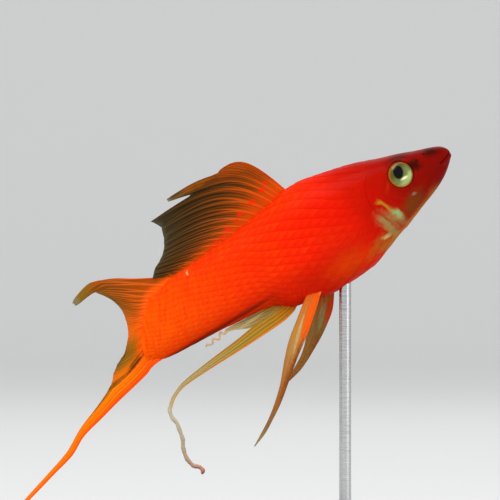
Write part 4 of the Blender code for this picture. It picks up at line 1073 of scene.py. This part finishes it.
tailFin = {
    "upperRays": (
        ((64.6, 7.1), (66.3, 8.25), (69.0, 9.65), (72.2, 11.4), (75.4, 13.35), (77.6, 14.3), (79.6, 15.0),
         (80.6, 15.2), (82.0, 15.0), (83.7, 14.5), (85.3, 13.85), (86.0, 13.25)),
        ((67.0, 6.4), (72.0, 9.9), (76.0, 12.4), (79.2, 13.9), (80.9, 13.75), (82.3, 13.4), (83.8, 12.95),
         (85.1, 12.45), (85.75, 12.65)),
        ((69.0, 6.0), (73.0, 8.7), (77.0, 11.4), (79.6, 12.9), (80.95, 13.35)),
        ((70.3, 5.6), (74.0, 8.0), (77.3, 10.5), (80.1, 12.3)),
        ((71.0, 5.0), (74.5, 7.2), (79.1, 11.0)),
        ((71.3, 4.5), (74.8, 6.4), (78.3, 9.6)),
        ((71.6, 4.0), (75.0, 5.6), (77.85, 8.3)),
        ((71.9, 3.5), (75.0, 4.8), (77.6, 7.0)),
        ((72.1, 3.0), (75.2, 4.1), (77.65, 5.8)),
        ((72.3, 2.4), (75.3, 3.3), (77.9, 4.6)),
        ((72.6, 1.9), (75.5, 2.5), (78.2, 3.4)),
        ((72.9, 1.3), (76.6, 1.5), (79.1, 1.4)),
    ),
    "lowerRays": (
        ((72.9, 1.3), (76.6, 1.5), (79.1, 1.4)),
        ((73.0, 0.8), (76.7, 0.7), (80.0, 0.35)),
        ((73.2, 0.2), (77.0, -0.2), (80.8, -0.5)),
        ((73.4, -0.4), (77.3, -1.0), (81.9, -1.6)),
        ((73.6, -1.0), (77.6, -1.7), (82.9, -2.05)),
        ((73.8, -1.6), (78.0, -2.35), (84.4, -2.8)),
        ((74.1, -2.2), (78.3, -2.9), (82.5, -3.9), (86.0, -4.0)),
        ((74.3, -2.75), (78.5, -3.42), (79.8, -4.02), (82.8, -5.1), (84.6, -5.52), (86.2, -5.7),
         (87.7, -5.82)),
    ),
}
upperLobe = {
    "rays": 12, "forks": (0.1, 0.62), "rayWidth": 0.19, "rayRise": 0.17, "notch": 0.01, "ragged": 0.003,
    "streak": 0.3, "streakScale": (30.0, 1.6, 1.0),
    "membraneColours": (
        (0.0, (0.48, 0.06, 0.002)), (0.3, (0.32, 0.055, 0.002)), (0.55, (0.22, 0.045, 0.002)),
        (0.82, (0.16, 0.05, 0.003)), (0.95, (0.12, 0.06, 0.008)), (1.0, (0.12, 0.1, 0.04))),
    "rayColours": (
        (0.0, (0.8, 0.1, 0.001)), (0.5, (0.66, 0.11, 0.002)), (0.8, (0.46, 0.1, 0.003)),
        (1.0, (0.26, 0.13, 0.02))),
    "acrossColours": (
        (0.0, (0.4, 0.07, 0.002)), (0.5, (0.5, 0.08, 0.002)), (0.8, (0.9, 0.11, 0.001)),
        (1.0, (0.95, 0.13, 0.001))),
    "acrossStrength": ((0.0, 0.2), (0.1, 0.0), (0.5, 0.0), (0.8, 0.45), (1.0, 0.75)),
    "spots": (
        ((83.5, 14.0), (2.8, 1.3), -16, (0.22, 0.125, 0.012), 0.75),
        ((85.6, 13.2), (1.3, 1.1), -16, (0.22, 0.19, 0.09), 0.8),
    ),
    "alpha": ((0.0, 1.0), (0.5, 1.0), (0.93, 0.98), (1.0, 0.85)), "flesh": (1.2, 4.2),
    "fleshColour": (0.95, 0.092, 0.001), "fleshTop": (8.3, 6.9), "rows": 80,
}
lowerLobe = {
    "rays": 8, "forks": (0.1, 0.65), "rayWidth": 0.19, "rayRise": 0.17, "notch": 0.01, "ragged": 0.003,
    "streak": 0.3, "streakScale": (18.0, 1.6, 1.0),
    "membraneColours": (
        (0.0, (0.8, 0.1, 0.001)), (0.4, (0.5, 0.1, 0.002)), (0.6, (0.26, 0.09, 0.004)),
        (0.85, (0.15, 0.08, 0.006)), (1.0, (0.1, 0.075, 0.018))),
    "rayColours": (
        (0.0, (0.92, 0.1, 0.001)), (0.45, (0.8, 0.15, 0.002)), (0.8, (0.46, 0.17, 0.006)),
        (1.0, (0.24, 0.14, 0.02))),
    "acrossColours": (
        (0.0, (0.95, 0.13, 0.001)), (0.3, (0.8, 0.14, 0.001)), (0.8, (0.62, 0.17, 0.003)),
        (1.0, (0.92, 0.16, 0.001))),
    "acrossStrength": ((0.0, 0.75), (0.25, 0.35), (0.45, 0.0), (0.78, 0.1), (0.92, 0.85)),
    "spots": (
        # painted shade: a dark streak along the slit between this lobe and the sword
        ((80.2, -3.9), (2.8, 0.25), -21, (0.1, 0.045, 0.006), 0.8),
    ),
    "alpha": ((0.0, 1.0), (0.5, 1.0), (0.93, 0.98), (1.0, 0.85)), "flesh": (1.0, 4.2),
    "fleshColour": (0.95, 0.1, 0.001), "rows": 80,
}


# How far the tail has swept aside at that place along the fish.
def tailSway(flat, u, w):
    return tailSweep(flat[..., 0])


# The two lobes are fans of curved rays, one above and one below the tail root.
def makeTailFin():
    for word, look in (("upper", upperLobe), ("lower", lowerLobe)):
        material = paintFin("tailFin_" + word + "_lobe", look)
        shape = rayFan(tailFin[word + "Rays"])
        makeFin("tail_" + word + "_lobe", "caudal_" + word, "fin", shape, tailSway, look, material)


makeTailFin()

sword = {
    "upper": (
        (74.0, -2.48), (78.4, -3.28), (79.8, -3.87), (82.8, -4.96), (86.2, -5.62), (87.6, -5.84),
        (89.3, -6.8), (92.8, -8.4), (97.8, -10.4), (103.4, -13.5), (109.0, -15.35), (115.65, -17.4),
        (122.2, -19.55)),
    "lower": (
        (73.6, -6.75), (75.2, -6.78), (77.0, -6.88), (78.3, -7.15), (79.7, -7.75), (82.2, -8.4),
        (84.8, -9.0), (88.3, -9.8), (92.9, -11.0), (98.2, -12.4), (102.6, -14.7), (107.7, -16.1),
        (114.6, -18.0), (122.1, -19.9)),
    "rays": 7, "forks": (1.2, 1.3), "rayWidth": 0.22, "rayRise": 0.22, "notch": 0.0, "pleat": 0.03,
    "columns": 10, "rootThin": 0.6, "rootReach": 0.14, "streak": 0.5, "streakScale": (9.0, 3.0, 1.0),
    "rayShow": 0.5,
    "membraneColours": (
        (0.0, (0.92, 0.08, 0.001)), (0.09, (0.93, 0.11, 0.001)), (0.2, (0.95, 0.2, 0.002)),
        (0.55, (0.95, 0.22, 0.002)), (0.85, (0.95, 0.2, 0.002)), (1.0, (0.56, 0.21, 0.01))),
    "rayColours": (
        (0.0, (0.92, 0.08, 0.001)), (0.12, (0.95, 0.16, 0.001)), (0.3, (0.98, 0.27, 0.003)),
        (0.9, (0.92, 0.21, 0.004)), (1.0, (0.56, 0.24, 0.02))),
    "acrossColours": (
        (0.0, (0.8, 0.12, 0.002)), (0.5, (0.75, 0.09, 0.002)), (0.7, (0.92, 0.1, 0.001)),
        (1.0, (0.9, 0.045, 0.001))),
    "acrossStrength": ((0.0, 0.6), (0.14, 0.05), (0.42, 0.0), (0.5, 0.55), (0.58, 0.15), (0.85, 0.85)),
    "spots": (
        # painted shade: this spot and the third one darken the slit between the lower lobe and the sword
        ((80.9, -4.72), (3.3, 0.28), -20, (0.05, 0.022, 0.004), 0.9),
        ((89.6, -7.0), (5.2, 0.5), -23, (0.34, 0.13, 0.004), 0.85),
        ((86.0, -6.1), (2.6, 0.35), -12, (0.12, 0.05, 0.003), 0.7),
    ),
    "alpha": ((0.0, 1.0), (1.0, 0.97)), "joints": 60.0, "rows": 260,
}


# The sword is a strip between its upper and lower outline.
def makeSword():
    shape = stripShape(sword["upper"], sword["lower"])
    makeFin("tail_sword", "sword", "fin", shape, tailSway, sword, paintFin("swordFin", sword))


makeSword()
print("tail made")

anal = {
    "upper": (
        (46.6, -11.4), (50.0, -11.05), (53.9, -10.8), (60.1, -11.4), (66.0, -12.0), (70.3, -12.55),
        (74.0, -13.15), (77.9, -14.8), (79.9, -16.6)),
    "lower": (
        (43.9, -12.2), (46.2, -13.3), (49.0, -13.6), (53.6, -13.55), (60.3, -13.65), (66.3, -13.75),
        (70.6, -13.9), (74.3, -14.2), (77.3, -15.35), (79.1, -16.9)),
    "rays": 5, "forks": (1.2, 1.3), "rayWidth": 0.3, "rayRise": 0.3, "notch": 0.0, "pleat": 0.03,
    "streak": 0.4, "streakScale": (8.0, 3.0, 1.0), "rayShow": 0.35,
    "membraneColours": (
        (0.0, (0.55, 0.16, 0.006)), (0.15, (0.4, 0.2, 0.012)), (0.4, (0.38, 0.24, 0.03)),
        (0.65, (0.44, 0.33, 0.1)), (1.0, (0.55, 0.46, 0.22))),
    "rayColours": (
        (0.0, (0.6, 0.2, 0.008)), (0.3, (0.46, 0.28, 0.03)), (0.7, (0.6, 0.5, 0.2)),
        (1.0, (0.66, 0.58, 0.32))),
    "acrossColours": ((0.0, (0.62, 0.2, 0.008)), (0.5, (0.4, 0.24, 0.03)), (1.0, (0.74, 0.19, 0.004))),
    "acrossStrength": ((0.0, 0.8), (0.22, 0.05), (0.72, 0.1), (0.95, 0.9)),
    "spots": (
        ((50.6, -10.0), (2.0, 0.35), -12, (0.3, 0.36, 0.1), 0.7),
    ),
    "alpha": ((0.0, 1.0), (1.0, 0.92)), "joints": 50.0, "rows": 200, "sink": (-0.3, 1.6),
}
analRear = {
    **anal,
    "upper": (
        (47.6, -9.6), (50.5, -8.85), (52.9, -8.5), (55.0, -8.35), (57.2, -8.25), (59.0, -8.12),
        (60.6, -8.15)),
    "lower": (
        (46.5, -11.1), (49.0, -11.0), (51.5, -10.95), (54.0, -10.9), (55.8, -10.6), (57.6, -9.9),
        (59.0, -9.25), (60.7, -8.75)),
    "rayWidth": 0.16, "rayRise": 0.16, "rayShow": 0.6,
    "membraneColours": (
        (0.0, (0.42, 0.13, 0.008)), (0.3, (0.26, 0.17, 0.03)), (0.7, (0.3, 0.24, 0.09)),
        (1.0, (0.55, 0.42, 0.18))),
    "rayColours": ((0.0, (0.5, 0.18, 0.01)), (0.5, (0.46, 0.36, 0.14)), (1.0, (0.66, 0.54, 0.28))),
    "acrossStrength": ((0.0, 0.0), (1.0, 0.0)),
    "spots": (
        ((55.5, -9.4), (3.4, 0.3), -4, (0.6, 0.45, 0.22), 0.6),
        ((49.5, -10.2), (2.0, 0.3), -8, (0.3, 0.36, 0.1), 0.7),
    ),
    "alpha": ((0.0, 1.0), (0.6, 0.95), (1.0, 0.95)), "joints": 20.0, "rows": 90, "sink": (-0.3, 1.4),
}
threads = {
    "long": (
        (79.3, -16.4), (79.75, -17.15), (80.0, -18.6), (79.75, -20.0), (80.0, -21.6), (80.4, -23.6),
        (81.3, -25.4), (81.75, -27.6), (81.4, -29.5), (80.3, -30.7), (80.1, -31.5), (80.7, -32.2)),
    "longRadius": (0.42, 0.46), "crinkleStart": (60.5, -8.5), "crinkleEnd": (66.1, -9.3),
    "crinkleSwing": 0.5, "crinkleEase": 0.5, "crinkleWaves": 3.0, "crinkleRadius": (0.28, 0.2),
    "points": 150,
    "longColours": (
        (0.0, (0.5, 0.44, 0.26)), (0.25, (0.46, 0.38, 0.24)), (0.6, (0.42, 0.3, 0.18)),
        (0.9, (0.46, 0.24, 0.15)), (1.0, (0.52, 0.12, 0.08))),
    "crinkleColours": ((0.0, (0.62, 0.42, 0.18)), (0.5, (0.62, 0.36, 0.2)), (1.0, (0.46, 0.34, 0.2))),
}


def noSway(flat, u, w):         # stays in the middle plane
    return 0 * u


# Round thread along a path: a circle carried square to the path in the side plane, its radius
# swelling and shrinking a little and rounded off at the far end.
def makeThread(name, node, path, radii, material, lumps):
    sides = 20
    rows = len(path)
    forward = np.gradient(path, axis=0)
    forward = (forward / np.linalg.norm(forward, axis=1)[:, None])[:, None, :]
    share = np.linspace(0, 1, rows)
    radius = radii[0] + (radii[1] - radii[0]) * share
    radius = radius * (1 + 0.09 * np.sin(share * lumps) + 0.05 * np.sin(share * lumps * 2.7 + 1.0))
    radius = (radius * np.minimum(1, np.sqrt(np.maximum((1 - share) * 30, 0.02))))[:, None]
    out, aside = np.moveaxis(radius[..., None] * circle(sides), -1, 0)
    along = path[:, :1] - out * forward[..., 1]
    height = path[:, 1:] + out * forward[..., 0]
    points = np.stack([along, aside, height], axis=-1).reshape(-1, 3)
    ends = np.insert(path[[0, -1]], 1, 0, axis=1)
    thread = makePiece(name, toWorld(np.concatenate([points, ends])), tubeFaces(rows, sides), material)
    around, outward = np.meshgrid(np.arange(sides) / sides, share)
    both = np.stack([around, outward], axis=-1).reshape(-1, 2)
    addMap(thread, "finMap", np.concatenate([both, [[0, 0], [0, 1]]]))
    return settle(thread, "thread", node)


# Colours from root to tip, shifted back and forth by a noise that is drawn out round the thread.
def paintThread(name, stops):
    material, tree, shader = newMaterial(name)
    spot = uvPlace(tree, "finMap")
    mottle = speckle(stretched(spot, (2.0, 30.0, 1.0)), 1.0, 4.0, 0.6)
    shade = ramp(plus(partsOf(spot)[1], centred(mottle, 0.3)), stops)
    feed(shader, {"Base Color": shade, "Roughness": 0.35, "Coat Weight": 0.3})
    addBump(shader, mottle, 0.4, 0.05)
    return material


# Both anal fins are strips between two outlines, in the middle plane.
def makeAnalFins():
    for name, node, look, finish in (("anal_fin_front", "gonopodium", anal, "analFin"),
                                     ("anal_fin_back", "anal_fin_rear", analRear, "analFinRear")):
        shape = stripShape(look["upper"], look["lower"])
        makeFin(name, node, "fin", shape, noSway, look, paintFin(finish, look))


# The long thread follows its path. The short one is a straight run with a sine across it, which
# fades in from the root and eases off towards the tip.
def makeThreads():
    t = threads
    share = np.linspace(0, 1, t["points"])
    path = pathPoint(t["long"], share)
    material = paintThread("paleThread", t["longColours"])
    makeThread("anal_fin_long_thread", "gonopodium_thread", path, t["longRadius"], material, 47.0)
    share = share[:, None]
    start = np.array(t["crinkleStart"])
    run = np.array(t["crinkleEnd"]) - start
    square = np.array([-run[1], run[0]]) / np.linalg.norm(run)
    swing = -t["crinkleSwing"] * np.sin(share * t["crinkleWaves"] * 2 * math.pi) * np.minimum(1, share * 6)
    swing = swing * (1 - t["crinkleEase"] * share)
    path = start + share * run + swing * square
    material = paintThread("creamThread", t["crinkleColours"])
    makeThread("anal_fin_short_thread", "anal_fin_thread", path, t["crinkleRadius"], material, 31.0)


makeAnalFins()
makeThreads()
print("anal fin made")

pelvic = {
    "rightLeading": (
        (38.6, -12.4), (42.4, -15.3), (45.1, -17.4), (50.3, -21.1), (54.4, -24.4), (58.5, -27.7),
        (61.4, -29.6), (64.6, -31.5), (67.9, -32.8)),
    "rightTrailing": (
        (41.4, -11.5), (43.6, -12.6), (47.1, -14.9), (50.0, -17.0), (52.6, -19.6), (57.2, -24.8),
        (62.3, -29.1), (65.3, -31.0), (68.0, -32.6)),
    "leftLeading": (
        (36.1, -13.4), (38.9, -16.7), (41.1, -18.3), (43.5, -19.9), (46.0, -21.3), (49.0, -22.9),
        (51.6, -24.0), (54.9, -24.8)),
    "leftTrailing": (
        (40.5, -12.2), (44.0, -15.4), (46.3, -18.0), (47.7, -19.6), (49.7, -21.3), (52.0, -22.7),
        (55.0, -24.5)),
    "aside": 2.2, "spread": 1.6, "curl": 2.2, "twist": 0.5, "rays": 6, "forks": (0.3, 0.8),
    "rayWidth": 0.24, "rayRise": 0.2, "notch": 0.0, "pleat": 0.06, "streak": 0.5,
    "streakScale": (9.0, 2.0, 1.0), "joints": 30.0,
    "membraneColours": (
        (0.0, (0.66, 0.1, 0.008)), (0.1, (0.42, 0.22, 0.04)), (0.4, (0.36, 0.27, 0.09)),
        (0.7, (0.24, 0.13, 0.04)), (1.0, (0.26, 0.22, 0.09))),
    "rayColours": (
        (0.0, (0.75, 0.08, 0.004)), (0.25, (0.6, 0.2, 0.02)), (0.6, (0.42, 0.13, 0.02)),
        (0.85, (0.26, 0.12, 0.03)), (1.0, (0.3, 0.26, 0.1))),
    "spots": (
        ((43.2, -15.0), (6.2, 1.15), -38, (0.86, 0.1, 0.002), 0.95),
        ((54.0, -24.2), (8.5, 0.9), -41, (0.22, 0.05, 0.008), 0.85),
        ((38.9, -11.9), (0.55, 0.45), -38, (1.0, 0.3, 0.06), 0.95),
        ((47.8, -17.0), (4.2, 0.28), -43, (0.6, 0.5, 0.22), 0.6),
    ),
    "alpha": ((0.0, 1.0), (0.4, 0.92), (0.8, 0.9), (1.0, 0.6)), "rows": 130, "sink": (-0.4, 1.5),
}
pelvicLeft = {
    **pelvic,
    "membraneColours": (
        (0.0, (0.5, 0.07, 0.005)), (0.15, (0.3, 0.16, 0.04)), (0.6, (0.26, 0.2, 0.08)),
        (1.0, (0.26, 0.12, 0.02))),
    "rayColours": (
        (0.0, (0.6, 0.07, 0.004)), (0.3, (0.36, 0.15, 0.02)), (0.7, (0.34, 0.13, 0.015)),
        (1.0, (0.3, 0.1, 0.01))),
    "spots": (
        ((38.6, -15.9), (3.7, 1.2), -45, (0.66, 0.05, 0.002), 0.95),
        ((45.8, -20.6), (5.0, 0.45), -38, (0.32, 0.1, 0.008), 0.8),
        ((41.6, -16.3), (3.0, 0.5), -48, (0.34, 0.32, 0.13), 0.7),
    ),
}


# Each stands aside by a start, a sine of u and a twist of u times w, mirrored on the other side.
def makePelvicFins():
    p = pelvic
    for word, side, look in (("right", -1, pelvic), ("left", 1, pelvicLeft)):
        def sway(flat, u, w, side=side):
            return side * (p["aside"] + p["spread"] * np.sin(u * p["curl"]) + p["twist"] * u * w)

        shape = stripShape(p[word + "Trailing"], p[word + "Leading"])
        material = paintFin("pelvicFin_" + word, look)
        makeFin("belly_fin_" + word, "pelvic_fin_" + word, "fin", shape, sway, look, material)


makePelvicFins()

pectoral = {
    "along": 21.6, "heights": (-1.6, -4.6), "length": 14.0, "shorter": 0.4, "flare": 3.6, "right": (4, -34),
    "left": (-38, -70), "rays": 11, "forks": (0.45, 1.2), "rayWidth": 0.1, "rayRise": 0.08, "notch": 0.02,
    "streak": 0.2, "pleat": 0.05, "rayAlpha": 0.09, "gloss": 0.05, "coat": 0.0,
    "membraneColours": (
        (0.0, (0.62, 0.008, 0.001)), (0.12, (0.62, 0.012, 0.001)), (1.0, (0.5, 0.06, 0.01))),
    "rayColours": ((0.0, (0.6, 0.008, 0.001)), (0.3, (0.48, 0.02, 0.002)), (1.0, (0.4, 0.08, 0.015))),
    "alpha": ((0.0, 0.4), (0.04, 0.05), (0.2, 0.02), (1.0, 0.015)), "rows": 60, "skinGap": 0.6,
    "rootSink": 0.9,
}


# The rays start on the flank at equal shares of the height and lean by an angle that changes evenly with
# the share, shorter with its power of 1.5. The fin flares out with u, and its root is sunk in the flank.
def makePectoralFins():
    p = pectoral
    share = np.linspace(0, 1, p["rays"])
    height = p["heights"][0] + (p["heights"][1] - p["heights"][0]) * share
    roots = np.stack([np.full(p["rays"], p["along"]), height], axis=-1)
    length = p["length"] * (1 - p["shorter"] * share ** 1.5)
    material = paintFin("pectoralFin", p)
    for word, side in (("right", -1), ("left", 1)):
        angle = p[word][0] + (p[word][1] - p[word][0]) * share
        leaning = np.radians(angle)
        tips = roots + np.stack([np.cos(leaning), np.sin(leaning)], axis=-1) * length[:, None]
        shape = rayFan([curvedRay(a, b, d, d, 0.33, 0.33) for a, b, d in zip(roots, tips, angle)])
        level = flank(p["along"], height)

        def sway(flat, u, w, side=side, level=level):
            beside = np.interp(w, share, level) + p["skinGap"]
            return side * (beside + p["flare"] * u - p["rootSink"] * (1 - u) ** 6)

        makeFin("breast_fin_" + word, "pectoral_fin_" + word, "clear_fin", shape, sway, p, material)


makePectoralFins()
print("pelvic and pectoral fins made")

stand = {"rodX": 9.6, "rodRadius": 1.3, "baseTop": 4.0, "collarRadius": 2.3, "collarHeight": 2.6, "sides": 64}


# Height in the world of the skin straight over a place of the stand, found by halving.
def overStand(x, y):
    cosine = math.cos(pose["pitch"])
    sine = math.sin(pose["pitch"])
    low = np.zeros_like(x)
    high = np.full_like(x, pose["snoutZ"])
    for _ in range(40):
        z = (low + high) / 2
        along = -cosine * (x - pose["snoutX"]) - sine * (z - pose["snoutZ"])
        height = -sine * (x - pose["snoutX"]) + cosine * (z - pose["snoutZ"])
        under = height < underside(along, y)
        low = np.where(under, z, low)
        high = np.where(under, high, z)
    return low


# The rod is a turned profile of (radius, height), its top cut to the belly.
def makeRod():
    s = stand
    base = s["baseTop"]
    top = base + s["collarHeight"]
    wide, narrow = s["collarRadius"], s["rodRadius"]
    profile = ((wide - 0.15, base - 0.02), (wide, base + 0.12), (wide, top - 1.2), (wide - 0.12, top - 0.95),
               (narrow + 0.35, top - 0.55), (narrow + 0.3, top - 0.2), (narrow + 0.12, top),
               (narrow, top + 0.08))
    ring = circle(s["sides"])
    xy = ring * (narrow - 0.02)
    meet = overStand(s["rodX"] + xy[:, 0], xy[:, 1]) + 0.15
    rings = [np.insert(ring * radius, 2, height, axis=1) for radius, height in profile]
    for share in (0.25, 0.5, 0.75, 1.0):
        level = top + 0.08 + (meet - top - 0.08) * share
        rings.append(np.insert(xy, 2, level, axis=1))
    points = np.concatenate(rings + [[[0, 0, base - 0.02], [0, 0, meet.mean()]]])
    points[:, 0] += s["rodX"]
    material, tree, shader = newMaterial("polishedRod")
    grain = speckle(stretched(objectPlace(tree), (400.0, 400.0, 9000.0)), 1.0, 3.0, 0.6)
    shade = ramp(grain, ((0.3, (0.50, 0.50, 0.51)), (0.7, (0.68, 0.68, 0.67))))
    feed(shader, {"Base Color": shade, "Roughness": spread(grain, 0.3, 0.7, 0.16, 0.30), "Metallic": 1.0})
    rod = makePiece("stand_rod_turned", points * mm, tubeFaces(len(rings), s["sides"]), material)
    return settle(rod, "rod", "stand_rod")


# Near black, with a broad, soft noise in the colour and the roughness.
def paintBase():
    material, tree, shader = newMaterial("satinBase")
    place = objectPlace(tree)
    broad = speckle(place, 60.0, 4.0, 0.6)
    shade = ramp(broad, ((0.3, (0.012, 0.012, 0.013)), (0.7, (0.022, 0.021, 0.020))))
    feed(shader, {"Base Color": shade, "Roughness": spread(broad, 0.3, 0.75, 0.22, 0.36),
                  "Coat Weight": 0.4, "Coat Roughness": 0.08})
    addBump(shader, speckle(place, 2600.0, 3.0, 0.7), 0.12, 0.03)
    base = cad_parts["stand_base"]
    base.data.materials.clear()
    base.data.materials.append(material)


makeRod()
paintBase()
print("stand made")

studio = {
    "imageCentre": (-0.01073, 0.06027), "viewWidth": 0.10682, "lens": 400.0, "sensor": 36.0,
    "floor": (0.74, 0.74, 0.73), "world": (0.96, 0.97, 1.0), "worldStrength": 0.66,
    "front": -4.0, "bendStart": 1.8, "bendRadius": 1.2, "wall": 5.0, "halfWidth": 5.0,
    # Lamps: place, what it is aimed at, size, power
    "lamps": {
        "keyLamp": ((-0.25, -0.65, 0.85), (-0.005, 0.0, 0.05), 0.5, 6.5),
        "fillLamp": ((0.8, -0.6, 0.35), (-0.005, 0.0, 0.05), 0.7, 2.0),
        "rimLamp": ((0.1, 0.7, 0.8), (-0.005, 0.0, 0.05), 0.5, 1.5),
        "wallLamp": ((0.0, 1.3, 2.6), (0.0, 3.0, 0.4), 2.0, 13.0),
    },
}


# Floor and backdrop in one sheet: level, then a quarter circle, then upright.
def makeStudio():
    s = studio
    arc = np.linspace(0, math.pi / 2, 40)
    bend = s["bendRadius"]
    y = np.concatenate([[s["front"]], s["bendStart"] + bend * np.sin(arc), [s["bendStart"] + bend]])
    z = np.concatenate([[0.0], bend - bend * np.cos(arc), [s["wall"]]])
    x = np.linspace(-s["halfWidth"], s["halfWidth"], 3)
    points = np.stack([np.tile(x, len(y)), np.repeat(y, 3), np.repeat(z, 3)], axis=-1)
    material, _, shader = newMaterial("studioPaper")
    feed(shader, {"Base Color": colour(s["floor"]), "Roughness": 0.9})
    sheet = makePiece("studio_floor", points, [gridQuads(len(y), 3)], material, outwards=False)
    world = bpy.context.scene.world or bpy.data.worlds.new("studioWorld")
    bpy.context.scene.world = world
    world.use_nodes = True
    feed(world.node_tree.nodes["Background"], {"Color": colour(s["world"]), "Strength": s["worldStrength"]})
    for name, (place, target, size, power) in s["lamps"].items():
        light = bpy.data.lights.new(name, "AREA")
        light.size = size
        light.energy = power
        lamp = bpy.data.objects.new(name, light)
        lamp.location = place
        aim = np.array(target) - np.array(place)
        pitch = math.acos(-aim[2] / np.linalg.norm(aim))
        lamp.rotation_euler = (pitch, 0, math.atan2(aim[1], aim[0]) - math.pi / 2)
        bpy.context.scene.collection.objects.link(lamp)


# The camera looks along y at the picture's centre, at a distance of the view's width times lens over sensor.
def makeCamera():
    camera = bpy.data.objects.new("camera", bpy.data.cameras.new("camera"))
    camera.data.lens = studio["lens"]
    camera.data.sensor_width = studio["sensor"]
    distance = studio["viewWidth"] * studio["lens"] / studio["sensor"]
    camera.location = (studio["imageCentre"][0], -distance, studio["imageCentre"][1])
    camera.rotation_euler = (math.pi / 2, 0, 0)
    camera.data.clip_start = 0.01
    bpy.context.scene.collection.objects.link(camera)
    bpy.context.scene.camera = camera
    bpy.context.scene.view_settings.view_transform = "Standard"     # keeps the red as pure as it is


makeStudio()
makeCamera()
print("studio and camera made")
